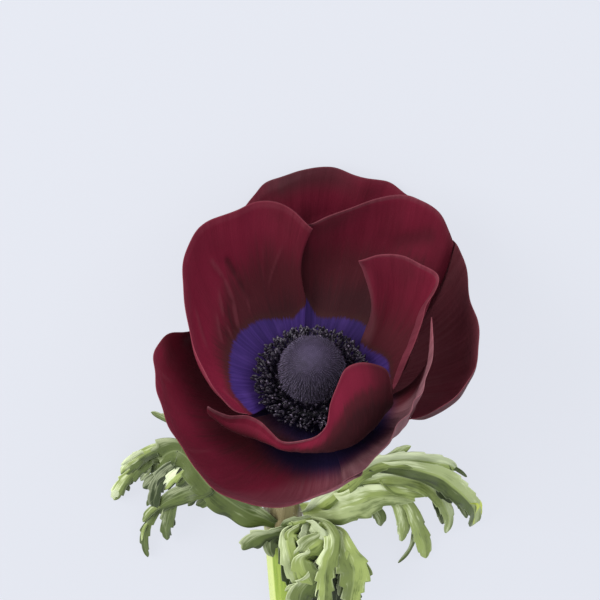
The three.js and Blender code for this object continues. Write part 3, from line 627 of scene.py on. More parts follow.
def petal_material():
    tree = Tree("petal_velvet")
    u, v = tree.value("pu"), tree.value("pv")
    turn, rim, fold = tree.value("turn"), tree.value("rim"), tree.value("fold")
    streaks = tree.flow(u, 34.0, v, 1.6, turn, 4, 0.6)
    veins = tree.flow(u, 90.0, v, 5.0, turn, 3, 0.6)
    clouds = tree.flow(u, 3.2, v, 2.6, turn, 3, 0.55)
    grain = tree.noise(tree.place(), 2600.0, 2, 0.6)
    # Dark wine to bright crimson: the per-petal table paints light and shade, the clouds and streaks vary
    # the petal's own colour
    depth = tree.sum(tree.value("painted_light"), tree.swing(clouds, 1.3), tree.swing(streaks, 0.6))
    wine = tree.mix(tree.step(depth, -0.1, 1.35), (0.060, 0.0075, 0.0125), (0.160, 0.0090, 0.0280))
    # Painted shade: darker towards the foot, deep in the cup
    deep = tree.sum(tree.value("deep"), tree.swing(streaks, 1.3), tree.swing(clouds, 0.9))
    wine = tree.mix(tree.step(deep, 0.0, 1.0, 0, 0.95), wine, (0.062, 0.0090, 0.0140))
    wine = tree.mix(tree.step(deep, 1.0, 2.2, 0, 0.8), wine, (0.026, 0.0068, 0.0088))
    wine = tree.mix(tree.step(veins, 0.55, 0.78, 0, 0.25), wine, (0.130, 0.018, 0.030))
    # Folds: paler on a ridge as a painted highlight, darker in a crease as painted shade
    wine = tree.mix(tree.step(fold, 0.05, 0.4, 0, 0.40), wine, (0.165, 0.036, 0.050))
    wine = tree.mix(tree.step(fold, -0.05, -0.5, 0, 0.6), wine, (0.030, 0.0070, 0.0090))
    # A dull pink, used both for a dull red and for the painted sheen of the pale rims
    dull_and_sheen_pink = tree.mix(tree.step(streaks, 0.3, 0.7), (0.120, 0.050, 0.060), (0.190, 0.092, 0.106))
    wine = tree.mix(tree.value("dull"), wine, dull_and_sheen_pink)
    dusk = tree.times(tree.value("dusk"), tree.step(clouds, 0.3, 0.55, 0.3, 0.9))
    wine = tree.mix(dusk, wine, (0.040, 0.022, 0.024))
    # Painted sheen: the pale rims and turned margins
    wine = tree.mix(tree.times(tree.value("pale"), tree.step(clouds, 0.2, 0.6, 0.7, 1.0)), wine, dull_and_sheen_pink)
    # A thin painted highlight along the rim
    wine = tree.mix(tree.step(rim, 0.5, 0.0, 0, 0.22), wine, (0.190, 0.050, 0.062))
    zone = tree.sum(tree.value("zone"), tree.swing(veins, 2.8))
    violet = tree.mix(tree.step(streaks, 0.3, 0.75), (0.034, 0.016, 0.108), (0.064, 0.031, 0.175))
    violet = tree.mix(tree.step(clouds, 0.48, 0.30, 0, 0.6), violet, (0.030, 0.015, 0.085))
    violet = tree.mix(tree.step(clouds, 0.52, 0.70, 0, 0.6), violet, (0.092, 0.047, 0.235))
    # Near the stamens the violet is partly the petal's own dark base and partly painted shade under the
    # stamens
    violet = tree.mix(tree.step(tree.value("rho"), 16.5, 11.0, 0, 0.9), violet, (0.006, 0.005, 0.014))
    # The violet foot painted darker, as painted shade
    violet = tree.mix(tree.value("painted_foot_shade"), violet, (0.008, 0.006, 0.022))
    fringe = tree.mix(tree.step(zone, 2.2, 0.2, 0, 0.6), wine, (0.050, 0.016, 0.016))
    colour = tree.mix(tree.step(zone, 0.35, -0.55), fringe, violet)
    hazy = tree.mix(tree.step(zone, 4.0, -3.5), wine, violet)
    # On the most shaded petals the wine fades into the painted-shade violet over a wider band
    colour = tree.mix(tree.math("GREATER_THAN", tree.value("painted_foot_shade"), 0.5), colour, hazy)
    # Painted light and shade, as a factor on the petal's brightness
    lift = tree.value("painted_brightness")
    colour = tree.mix(1.0, colour, tree.vector(lift, lift, lift), "MULTIPLY")
    colour = tree.mix(tree.step(grain, 0.66, 0.8, 0, 0.12), colour, (0.16, 0.09, 0.11))
    height = tree.sum(tree.times(veins, 0.6), tree.times(streaks, 0.8), tree.times(grain, 0.25))
    return tree.finish(
        Base_Color=colour, Roughness=tree.step(streaks, 0.3, 0.7, 0.55, 0.7), Specular_IOR_Level=0.06,
        Sheen_Weight=0.06, Sheen_Roughness=0.4, Sheen_Tint=(0.85, 0.40, 0.48, 1),
        Normal=tree.bump(height, 0.5, 0.00022))


# ---- Dome of carpels ----------------------------------------------------------------------------------

DOME_CENTRE = 10.1  # height of the dome's middle along the axis
DOME_RADIUS = 7.6
DOME_HALF_HEIGHT = 8.7
DOME_FOOT = 0.9
DOME_ROWS, DOME_COLUMNS = 90, 150
DOME_END = math.radians(160)  # of the skin, as an angle from the top
KNOB_HEIGHT = 0.10  # of the relief on the skin
CARPELS = 2600  # tips in a golden-angle spiral from the top of the dome to its foot
CARPEL_SPREAD = 1.62  # drop from the first carpel to the last, in half heights
BRISTLE_WIDTH = 0.27
BRISTLE_ROOT = 0.99  # share of the dome's size at which the bristles are rooted
GOLDEN_ANGLE = 137.508


def dome_piece(material):
    random = np.random.default_rng(11)
    parts = Parts()
    rows, columns = DOME_ROWS, DOME_COLUMNS
    fall = np.linspace(0.004, 1, rows) * DOME_END
    turn = np.linspace(0, 360, columns, endpoint=False)
    knob = KNOB_HEIGHT * np.sin(fall[:, None] * 46) * np.cos(np.radians(turn) * 42)[None]
    knob = knob * smooth(0.25, 0.7, fall)[:, None]
    radius = (DOME_RADIUS + knob) * np.sin(fall)[:, None]
    height = DOME_CENTRE + (DOME_HALF_HEIGHT + knob) * np.cos(fall)[:, None]
    skin = polar(turn[None] + 0 * radius, radius, np.maximum(height, DOME_FOOT)).reshape(-1, 3)
    cap = [np.arange(columns)[::-1][None], (rows - 1) * columns + np.arange(columns)[None]]
    faces = [grid_faces(rows, columns, wrap=True)] + cap
    parts.add(skin, faces, fall=np.repeat(fall, columns), tip=0.0, luck=0.5)
    share = (np.arange(CARPELS) + 0.5) / CARPELS
    angle = np.arccos(1 - share * CARPEL_SPREAD)
    azimuth = np.arange(CARPELS) * GOLDEN_ANGLE
    direction = polar(azimuth, np.sin(angle), np.cos(angle)) - HEART
    root = polar(azimuth, DOME_RADIUS * np.sin(angle) * BRISTLE_ROOT,
                 DOME_CENTRE + DOME_HALF_HEIGHT * np.cos(angle) * BRISTLE_ROOT)
    slope = polar(azimuth, np.cos(angle), -np.sin(angle)) - HEART
    lie = 0.75 * (smooth(0.45, 1.0, angle) - 0.35 * smooth(1.2, 1.7, angle))[:, None]
    lean = unit(direction * (1 - lie) + slope * lie + random.normal(0, 0.13, direction.shape))
    length = (0.25 + 1.6 * smooth(0.5, 1.05, angle)) * random.uniform(0.7, 1.2, CARPELS)
    vertices, faces = bristles(root, root + lean * length[:, None], BRISTLE_WIDTH)
    tip = np.tile([0.0, 0, 0, 1], CARPELS)
    luck = np.repeat(random.uniform(0, 1, CARPELS), 4)
    parts.add(vertices, faces, fall=np.repeat(angle, 4), tip=tip, luck=luck)
    return parts.make("pistil_dome_carpels", material, ["pistil_dome"])


def dome_material():
    tree = Tree("dome_felt")
    fall, tip, luck = tree.value("fall"), tree.value("tip"), tree.value("luck")
    mottle = tree.noise(tree.place(), 900.0, 4, 0.65)
    fine = tree.noise(tree.place(), 2400.0, 3, 0.6)
    colour = tree.mix(tree.step(mottle, 0.35, 0.68), (0.020, 0.015, 0.029), (0.042, 0.031, 0.060))
    # Lighter towards the top: a painted highlight
    colour = tree.mix(tree.step(fall, 0.8, 0.1, 0, 0.6), colour, (0.052, 0.038, 0.078))
    # Darker on the lower flank: painted shade between the bristles
    colour = tree.mix(tree.step(fall, 0.85, 1.25, 0, 0.9), colour, (0.012, 0.010, 0.018))
    light = tree.mix(luck, (0.060, 0.050, 0.085), (0.240, 0.205, 0.300))
    colour = tree.mix(tree.times(tip, tree.step(fall, 0.5, 1.1, 0.35, 0.9)), colour, light)
    return tree.finish(
        Base_Color=colour, Roughness=0.7, Specular_IOR_Level=0.2, Sheen_Weight=0.34, Sheen_Roughness=0.35,
        Sheen_Tint=(0.60, 0.50, 0.82, 1), Normal=tree.bump(fine, 0.5, 0.00012))


# ---- Stamens ------------------------------------------------------------------------------------------

STAMENS = 450
COLLAR_INNER, COLLAR_OUTER, COLLAR_BOTTOM, COLLAR_TOP = 6.0, 9.6, 1.6, 2.8
ANTHER_NEAREST, ANTHER_FURTHEST = 8.7, 14.6  # radius of the innermost and outermost anthers
ANTHER_HIGHEST, ANTHER_LOWEST = 8.8, 4.6
ANTHER_LENGTH, ANTHER_WIDTH = 1.65, 0.80
ANTHER_SIDES, ANTHER_STATIONS = 12, 7
FILAMENT_RADII = (0.17, 0.15, 0.13, 0.12, 0.11)
COLLAR_SIDES = 96


def stamens_piece(material):
    random = np.random.default_rng(23)
    parts = Parts()
    turn = np.linspace(0, 360, COLLAR_SIDES, endpoint=False)
    profile = [(COLLAR_INNER, COLLAR_BOTTOM), (COLLAR_OUTER, COLLAR_BOTTOM), (COLLAR_OUTER + 0.1, 2.2),
               (COLLAR_OUTER - 0.3, COLLAR_TOP), (COLLAR_INNER + 0.2, COLLAR_TOP)]
    ring = np.concatenate([polar(turn, r + 0 * turn, h) for r, h in profile])
    rows = len(profile)
    close = grid_faces(2, COLLAR_SIDES, wrap=True)
    close = np.where(close < COLLAR_SIDES, close + (rows - 1) * COLLAR_SIDES, close - COLLAR_SIDES)
    parts.add(ring, [grid_faces(rows, COLLAR_SIDES, wrap=True), close], anther=0.0, luck=0.3, side=0.0)
    for i in range(STAMENS):
        share = math.sqrt((i + 0.5) / STAMENS) * 0.93 + random.uniform(0, 0.07)
        azimuth = i * GOLDEN_ANGLE + random.uniform(-2, 2)
        reach = ANTHER_NEAREST + (ANTHER_FURTHEST - ANTHER_NEAREST) * share
        height = ANTHER_HIGHEST + (ANTHER_LOWEST - ANTHER_HIGHEST) * share + random.uniform(-0.9, 0.9)
        root = polar(azimuth, COLLAR_INNER + 0.7 + share * 2.5, COLLAR_TOP - 0.4)
        foot = polar(azimuth, reach - 0.5, height)
        lean = 0.1 + 0.35 * share + random.uniform(-0.35, 0.35)
        skew = random.uniform(-0.6, 0.6)
        side = polar(azimuth + 90, 1.0, 0.0) - HEART
        out = polar(azimuth, 1.0, 0.0) - HEART
        direction = unit(lean * out + (1 - lean) * AXIS_UP + skew * side)
        bend = (root + foot) / 2 + out * random.uniform(-0.4, 0.4)
        filament = curve([root, bend, foot + direction * 0.2], np.linspace(0, 1, len(FILAMENT_RADII)))
        vertices, faces = tube(filament, FILAMENT_RADII, 4)
        luck = random.uniform()
        parts.add(vertices, faces, anther=0.0, luck=luck, side=0.0)
        length = ANTHER_LENGTH * random.uniform(0.8, 1.15)
        stations = (1 - np.cos(np.linspace(0, math.pi, ANTHER_STATIONS))) / 2
        spine = foot + direction * (stations * length)[:, None]
        radii = ANTHER_WIDTH / 2 * np.sqrt(np.clip(1 - (2 * stations - 1) ** 2, 0.03, 1))
        radii = radii * random.uniform(0.85, 1.15)
        vertices, faces = tube(spine, radii, ANTHER_SIDES, lobes=2, lobe_depth=0.30)
        side_share = np.tile(np.arange(ANTHER_SIDES) / ANTHER_SIDES, ANTHER_STATIONS)
        parts.add(vertices, faces, anther=1.0, luck=luck, side=np.concatenate([side_share, [0, 0]]))
    return parts.make("stamens_ring", material, ["stamens"])


def stamens_material():
    tree = Tree("stamen_pollen_glints")
    speck = tree.noise(tree.place(), 1500.0, 2, 0.6)
    colour = tree.mix(tree.value("luck"), (0.008, 0.006, 0.012), (0.034, 0.026, 0.044))
    colour = tree.mix(tree.value("anther"), (0.010, 0.007, 0.018), colour)
    # Pale specks on the anthers: pollen and painted glints
    pollen_and_glints = tree.times(tree.step(speck, 0.58, 0.68), tree.value("anther"))
    pollen_and_glints = tree.times(pollen_and_glints, tree.step(tree.value("luck"), 0.1, 0.9, 0.2, 0.9))
    colour = tree.mix(pollen_and_glints, colour, (0.38, 0.31, 0.43))
    return tree.finish(
        Base_Color=colour, Roughness=0.36, Specular_IOR_Level=0.55, Sheen_Weight=0.05,
        Sheen_Tint=(0.6, 0.55, 0.7, 1), Normal=tree.bump(speck, 0.6, 0.0001))


# ---- Bracts -------------------------------------------------------------------------------------------

# A bract is a blade with lobes that fork from it:
#   face   the direction that its upper side faces
#   tooth  how deep the teeth on its margins are
#   tone   its colour: 0 is dark green, partly the leaf's own and partly painted shade where a lobe lies under others;
#          1 pale green; above that greyish white, a painted highlight; and 2 yellow. A pair of tones paints
#          the two halves of a folded blade, one lit and one shaded
#   path   rows of points along its middle: the pixel at which the camera sees the point, across and down in
#          the 600 by 600 picture, the height above the floor, and the width of the blade there
#   lobes  (share of the parent's length at which the lobe starts, tone, path, its own lobes)
BRACTS = [
    {
        "name": "bract_left", "face": (-0.4, 0.1, 1), "tooth": 0.44, "tone": (0.42, 0.3),
        "path": [[280, 526, 9, 1.2], [274, 523, 9.6, 2.8], [266, 519, 10.2, 4.6], [252, 514, 11, 7.4],
            [238, 506, 12.4, 8.8], [223, 496, 13.4, 8.8], [208, 484, 14, 8.1], [197, 470, 14, 7],
            [187, 457, 13, 6.7], [178, 451, 11.8, 7.2], [168, 453, 10, 7.7], [160, 460, 8, 6.3],
            [155, 468, 6, 4.4], [153, 475, 4.5, 1.2]],
        "lobes": [
            (0.4, 0.3, [[207, 499, 12.5, 3], [201, 503, 11.8, 2.8], [196, 505, 11, 1]], []),
            (0.45, (0.38, 0.24), [[206, 488, 13.4, 4.9], [192, 491, 12.6, 5.1], [178, 496, 11, 5.3],
                [166, 502, 8.8, 3.9], [158, 509, 7, 2.6], [150, 521, 5, 2.3], [145, 534, 3, 2.6],
                [145, 546, 2, 2.3], [148, 557, 1.2, 0.9]], [
                (0.2, 0.25, [[193, 500, 12, 2.1], [188, 506, 11.2, 0.8]], []),
                (0.36, 0.36, [[171, 509, 9, 3.9], [168, 520, 7, 3.7], [166.5, 531, 4.5, 3],
                    [167, 540, 3, 1.2]], [
                    (0.3, 0.3, [[173, 520, 6.8, 1.9], [174, 526, 5.8, 0.6]], [])]),
                (0.5, 0.6, [[156, 507, 7.2, 2.1], [149, 513, 6, 2.1], [143, 522, 3.8, 0.8]], []),
                (0.7, 0.85, [[147, 524, 4.6, 0.9], [143, 532, 3.2, 1], [142, 541, 2.4, 0.4]], [])]),
            (0.66, 0.04, [[178, 464, 11.4, 3.5], [168, 471, 10, 4.2], [160, 480, 8.8, 4.2],
                [156, 491, 8, 3.7], [154, 502, 7.4, 3], [156, 511, 6.6, 1]], [
                (0.34, 0.1, [[156, 478, 8, 3.5], [149, 483, 6.8, 3.2], [143, 488, 5.6, 1.2]], []),
                (0.75, 0.3, [[150, 500, 7, 1.4], [147, 506, 6.2, 0.7]], [])]),
            (0.6, (1.0, 1.4), [[188, 466, 12.8, 2.3], [178, 473, 11.8, 3.2], [170, 481, 10.6, 2.8],
                [164, 490, 9.4, 0.8]], [
                (0.3, 0.2, [[178, 478, 11.6, 1], [172, 485, 10.6, 0.8], [168, 490, 9.8, 0.4]], [])]),
            (0.56, 0.3, [[192, 472, 13, 3], [184, 479, 12.2, 3.2], [176, 486, 11, 1.2]], []),
            (0.64, 0.4, [[186, 442, 12.6, 2], [180, 429, 10.8, 2.1], [169, 420, 8.6, 2], [159, 415, 7, 1.8],
                [151, 412, 5.8, 0.9]], []),
            (0.8, (0.3, 0.8), [[160, 449, 9, 3.5], [148, 453, 7.4, 3.5], [137, 460, 6, 3.7],
                [128, 467, 4.4, 3.4], [121, 474, 3.2, 1.4]], [
                (0.42, 1.3, [[141, 452, 7, 1], [131, 457, 6, 1.2], [121, 465, 4.4, 0.6]], [])]),
            (0.84, 0.34, [[153, 458, 7.6, 3], [144, 464, 6.4, 3.7], [136, 471, 5.2, 3.7], [131, 478, 4.4, 3],
                [130, 485, 3.8, 0.9]], [
                (0.5, (0.5, 0.8), [[130, 475, 4.4, 2.8], [124, 482, 3.4, 3.5], [119, 490, 2.4, 3.4],
                    [114, 500, 1.4, 1.9]], [
                    (0.4, 0.25, [[127, 486, 3, 2], [129, 491, 2.5, 0.9]], []),
                    (0.7, 1.4, [[116, 493, 2.3, 2.1], [111, 497, 1.4, 1.3]], [])]),
                (0.3, 1.3, [[148, 469, 6.4, 2.1], [143, 476, 5.4, 1.9], [141, 481, 4.8, 0.6]], [])]),
        ],
    },
    {
        "name": "bract_right", "face": (0.4, 0.1, 1), "tooth": 0.2, "tone": (0.85, 1.15),
        "path": [[303, 513, 8.5, 5.2], [312, 512, 9.5, 7], [325, 510, 11, 8.4], [341, 506, 12.5, 9.7],
            [357, 502, 13.6, 9.7], [373, 497, 14, 7.7], [389, 495, 13.6, 5.3], [404, 497, 12.4, 3.9],
            [415, 501, 11, 1]],
        "lobes": [
            (0.05, (1.3, 1.0), [[318, 504, 12, 5.3], [332, 493, 13.5, 5.8], [348, 481, 15, 5.6],
                [364, 470, 15.8, 5.1], [378, 463, 16, 4.2], [394, 460, 15.6, 4.2], [414, 460, 14.6, 4.6],
                [434, 462, 13.4, 4.4], [449, 465, 12, 3.2], [457, 470, 10.6, 1]], [
                (0.48, 0.9, [[388, 457, 15.6, 2.1], [399, 451, 14, 2.6], [411, 446, 12.5, 1.1]], []),
                (0.9, 0.2, [[461, 472, 10.4, 1.2], [467, 477, 9, 0.4]], []),
                (0.86, 0.4, [[448, 470, 12, 2.1], [453, 476, 11, 0.8]], []),
                (0.44, (1.15, 0.3), [[386, 467, 15.7, 3.2], [404, 468, 15.6, 4.2], [424, 472, 15.4, 5.3],
                    [442, 479, 14.8, 6.3], [454, 488, 13.4, 6.3], [464, 497, 11.4, 5.3],
                    [472, 506, 8.4, 4.2], [474, 516, 4.6, 3.4], [471, 526, 1.4, 2.6]], [
                    (0.5, 0.12, [[440, 490, 13, 2.8], [447, 497, 11.6, 2.3], [452, 503, 10.2, 0.8]], []),
                    (0.72, 2.0, [[477, 502, 8.4, 1.9], [478, 512, 5, 2], [474, 524, 1.8, 1.2]], []),
                    (0.6, 0.45, [[459, 501, 9.8, 2.3], [464, 510, 7.4, 2.1], [467, 518, 5, 0.7]], [])]),
                (0.3, (1.18, 0.8), [[366, 480, 13.6, 3.2], [384, 477, 14.4, 3.9], [403, 478, 14.6, 4.6],
                    [421, 483, 14, 4.9], [434, 492, 12.6, 4.2], [443, 504, 9.4, 3.8], [448, 518, 5, 3.2],
                    [446, 533, 1.5, 1.1]], [
                    (0.24, (1.28, 1.0), [[396, 486, 14.2, 4.6], [410, 488, 13.6, 5.1], [422, 491, 12.4, 3.9],
                        [429, 495, 11.4, 1]], []),
                    (0.62, 0.15, [[436, 502, 9.8, 2.3], [440, 513, 7, 2.2], [443, 524, 4, 1]], [])]),
                (0.24, 0.05, [[356, 486, 13, 2.3], [370, 484, 13.4, 3], [382, 483, 13.2, 2.8],
                    [392, 485, 12.6, 1]], [])]),
            (0.55, 0.4, [[374, 508, 11, 2.8], [380, 517, 10, 3.5], [381, 526, 9, 1.3]], []),
            (0.72, (0.75, 1.05), [[397, 503, 11.2, 3.5], [401, 514, 9.6, 4.2], [403, 527, 7, 3.6],
                [402, 541, 4, 1.9]], []),
            (0.82, (0.7, 1.0), [[408, 505, 10, 3.2], [414, 517, 8, 3.9], [419, 531, 5, 4.4],
                [424, 546, 2.6, 4.4], [426, 558, 1.2, 2.1]], [
                (0.45, 0.45, [[414, 530, 5.5, 1.5], [412, 543, 4, 1.4], [406, 554, 2.5, 1.3],
                    [398, 563, 1.5, 0.5]], [])]),
        ],
    },
    {
        "name": "bract_front", "face": (0, -0.4, 1), "tooth": 0.42, "tone": (0.6, 0.95),
        "path": [[300, 523, 11.5, 3.5], [312, 521, 13.5, 3.9], [324, 523, 15.4, 4.4], [331, 532, 16.2, 4.4],
            [332.5, 545, 16.4, 4.4], [328, 560, 16.2, 5.1], [325, 576, 15.4, 4.4], [324.5, 592, 14.2, 4.2],
            [323, 608, 12.8, 3.2], [322, 622, 11.5, 1]],
        "lobes": [
            (0, (0.3, 0.5), [[284, 529, 12.6, 3.5], [271, 532, 13, 4.4], [258, 536, 13, 5.6],
                [249, 542, 12.4, 4.9], [243, 550, 11.4, 2.8]], []),
            (0, (0.18, 0.4), [[280, 534, 12, 3.9], [271, 540, 12, 5.6], [270, 548, 11.6, 3.5],
                [273, 557, 11, 0.8]], []),
            (0, 0.05, [[300, 534, 11, 7], [307, 549, 11.2, 10.4], [311, 567, 11.2, 11.6],
                [312, 585, 10.8, 9.3], [310, 601, 9.6, 6.4], [308, 616, 8, 2.3]], []),
            (0, (0.22, 0.08), [[286, 536, 11.8, 3.2], [285, 550, 12.2, 3.5], [287, 564, 12.4, 3.7],
                [291, 578, 12.4, 3.9], [296, 590, 12, 3], [299, 601, 11.4, 1]], [
                (0.55, 0.3, [[286, 576, 12.2, 1.9], [287, 583, 11.8, 0.8]], [])]),
            (0, (0.75, 1.18), [[288, 530, 14, 3.2], [287, 541, 15, 4.2], [289.5, 553, 15.6, 4.9],
                [292, 566, 15, 4.5], [295, 577, 14.2, 3.5], [297, 585, 13.5, 1.2]], [
                (0.5, 0.9, [[298, 560, 14.8, 2.3], [301, 570, 14.2, 1.4], [302, 576, 13.8, 0.6]], [])]),
            (0, (0.35, 0.95), [[294, 524, 13.6, 2.8], [287, 524, 13.8, 3.9], [295, 521, 14.6, 4.2],
                [303, 519, 14.8, 3.5], [312, 517, 14.4, 1]], []),
            (0.04, 0.85, [[298, 527, 14, 3], [291, 533, 14.8, 3.7], [294, 541, 15, 3],
                [300, 545, 14.6, 1.2]], []),
            (0.07, 1.35, [[304, 534, 14.6, 3], [300, 539, 14.8, 3], [296, 540, 14.6, 1.2]], []),
            (0.1, 1.3, [[312, 524, 15, 3.7], [316, 529, 15.8, 4.9], [321, 534, 16.2, 3.9],
                [324, 540, 16, 1.2]], []),
            (0.17, (0.95, 0.6), [[323, 534, 15.6, 5.3], [316, 541, 16, 7.9], [308, 547, 15.8, 7.2],
                [301, 553, 15.4, 5.1], [295, 558, 15, 2.1]], [
                (0.35, 0.3, [[312, 553, 15.2, 3.5], [315, 560, 14.8, 1.2]], []),
                (0.55, 0.4, [[300, 546, 15.2, 2.1], [296, 548, 15, 0.8]], [])]),
            (0.22, (0.55, 0.85), [[312, 552, 15.2, 3.9], [303, 558, 16, 5.3], [304, 567, 16, 6.3],
                [309, 576, 15.4, 5.3], [313, 585, 14.6, 1.9]], [
                (0.5, 0.7, [[299, 570, 15.4, 2.6], [300, 578, 14.6, 1]], [])]),
            (0.46, (0.3, 0.55), [[316, 572, 15, 4.6], [309, 582, 14.4, 6.5], [302, 591, 13.6, 7.2],
                [299, 603, 12.2, 5.3], [298, 616, 11, 1.9]], [
                (0.3, 0.75, [[299, 584, 14, 2.8], [291, 587, 13.2, 2.1], [285, 591, 12.6, 0.7]], []),
                (0.55, 0.45, [[293, 598, 12.6, 2.3], [289, 606, 11.8, 0.9]], [])]),
            (0.3, 0.0, [[336, 562, 12, 4.6], [338, 577, 11.6, 6.3], [337, 594, 10.6, 5.1],
                [335, 611, 9, 1.4]], []),
            (0.12, (0.95, 0.6), [[339.5, 530, 14.8, 2.3], [343.5, 540, 15.6, 4.4], [347, 550, 15.6, 6.5],
                [351, 560, 15, 8.1], [354, 571, 14.2, 7.9], [353, 584, 12.8, 5.8], [351, 598, 11, 4.6],
                [349, 612, 9, 3.5], [348, 626, 7, 1]], [
                (0.3, (0.7, 0.95), [[359, 562, 14.4, 4.2], [364, 571, 13.2, 4.2], [367, 581, 12, 1.4]], []),
                (0.46, 0.6, [[358, 578, 12.6, 3.5], [362, 588, 11, 1.2]], []),
                (0.26, (0.9, 1.2), [[341, 557, 15.4, 3.7], [336, 564, 15, 3.2], [332, 571, 14.2, 1.2]], []),
                (0.42, 0.35, [[343, 574, 13.2, 2.6], [341, 586, 12, 2.3], [339, 596, 11.5, 0.8]], []),
                (0.66, 0.6, [[357, 598, 10, 2.6], [360, 608, 8.4, 0.9]], [])]),
        ],
    },
]
BRACT_THICKNESS = 0.42
BRACT_EDGE = 0.14
FIRST_BRACT_SEED = 70
BLADE_COLUMNS = 13
BLADE_STATIONS = 300  # at which the length of a blade is measured
BLADE_STEP = 0.5  # from one row of points to the next
WAVE_HEIGHT, WAVE_LENGTH = 0.08, 9
TOOTH_PITCH = 4.6  # distance between the teeth along a margin
LOBE_START_BELOW = 0.3
LOBE_START_WIDTH = 0.7  # of a lobe where it leaves its parent, as a share of its first width
CUP = 0.32  # how far the margins stand above the rib, as a share of half the width
LIGHT_SIDE = np.array([-0.45, 0.75, 0.3])  # margins on this side of a blade are painted paler as painted light, those on the other side darker as painted shade


def seen(x, y, height):
    """The point at a height above the floor that the camera sees at pixel x, y."""
    eye = PICTURE_MIDDLE + EYE_DISTANCE * np.array(TOWARD_CAMERA)
    right, up = (x - MIDDLE_PIXEL) * PIXEL_SIZE, (MIDDLE_PIXEL - y) * PIXEL_SIZE
    ray = (right * np.array(PICTURE_RIGHT) + up * np.array(PICTURE_UP)
           - EYE_DISTANCE * np.array(TOWARD_CAMERA))
    return eye + ray * (height - eye[2]) / ray[2]


def seen_rows(path):
    """The x, y, z and width of a path's rows."""
    return [[*seen(*row[:3]), row[3]] for row in path]


def blade(parts, rows, lobes, bract, tone, random):
    """A blade or lobe of a bract through rows of x, y, z and width, and its own lobes."""
    t = np.linspace(0, 1, BLADE_STATIONS)
    run = run_of(curve([row[:3] for row in rows], t))
    length = run[-1]
    count = max(14, int(length / BLADE_STEP))
    s = np.linspace(0, 1, count)
    place = np.interp(s * length, run, t)
    middle = curve([row[:3] for row in rows], place)
    width = np.interp(place * (len(rows) - 1), np.arange(len(rows)), [row[3] for row in rows])
    width = np.convolve(np.pad(width, 3, "edge"), np.ones(7) / 7, "valid")
    width *= np.sqrt(np.clip((1 - s) * length / (0.8 * rows[-1][3] + 0.4), 0.02, 1))
    along = unit(np.gradient(middle, axis=0))
    side = unit(np.cross(along, np.array(bract["face"], float)))
    up = np.cross(side, along)
    x = np.linspace(-1, 1, BLADE_COLUMNS)[None]
    teeth = []
    for _ in (0, 1):
        saw = np.mod(s * length / TOOTH_PITCH * random.uniform(0.8, 1.2) + random.uniform(), 1)
        tooth = bract["tooth"] * (saw - 0.4) * smooth(0.3, 0.55, s)
        teeth.append(tooth * smooth(1.0, 0.94, s) * smooth(1.0, 2.2, width))
    margin = 1 + np.where(x < 0, teeth[0][:, None], teeth[1][:, None]) * x**2
    wave = WAVE_HEIGHT * np.sin(2 * math.pi * (s * length / WAVE_LENGTH + random.uniform()))[:, None] * x
    lift = CUP * random.uniform(0.6, 1.2) * 0.5 * np.abs(x) ** 1.4 + wave
    points = (middle[:, None] + side[:, None] * (x * margin * width[:, None] / 2)[..., None]
              + up[:, None] * (lift * width[:, None])[..., None])
    edge = (1 - np.abs(x)) * width[:, None] / 2
    vertices, faces, back = sheet(points, BRACT_EDGE + (BRACT_THICKNESS - BRACT_EDGE) * smooth(0, 1.2, edge))
    one = np.ones((count, 1))
    # The tones carry painted light and shade; a pair paints the two halves of a folded blade, one lit and
    # one shaded
    halves = tone if isinstance(tone, tuple) else (tone, tone)
    shade = (halves[0] + (halves[1] - halves[0]) * smooth(-0.12, 0.12, x)) * one
    values = {"across": x * one, "edge": edge, "run": s[:, None] * length + 0 * x, "tone": shade,
              "lit": x * (side @ LIGHT_SIDE)[:, None]}
    values = {key: np.tile(value.ravel(), 2) for key, value in values.items()}
    parts.add(vertices, [faces], back=1 - back, luck=random.uniform(), **values)
    for share, lobe_tone, path, more in lobes:
        root = curve([row[:3] for row in rows], [share])[0]
        first = [root[0], root[1], root[2] - LOBE_START_BELOW, LOBE_START_WIDTH * path[0][3]]
        blade(parts, [first] + seen_rows(path), more, bract, lobe_tone, random)


def bract_piece(bract, material, number):
    parts = Parts()
    random = np.random.default_rng(FIRST_BRACT_SEED + number)
    blade(parts, seen_rows(bract["path"]), bract["lobes"], bract, bract["tone"], random)
    return parts.make(bract["name"] + "_blades", material, [bract["name"]])


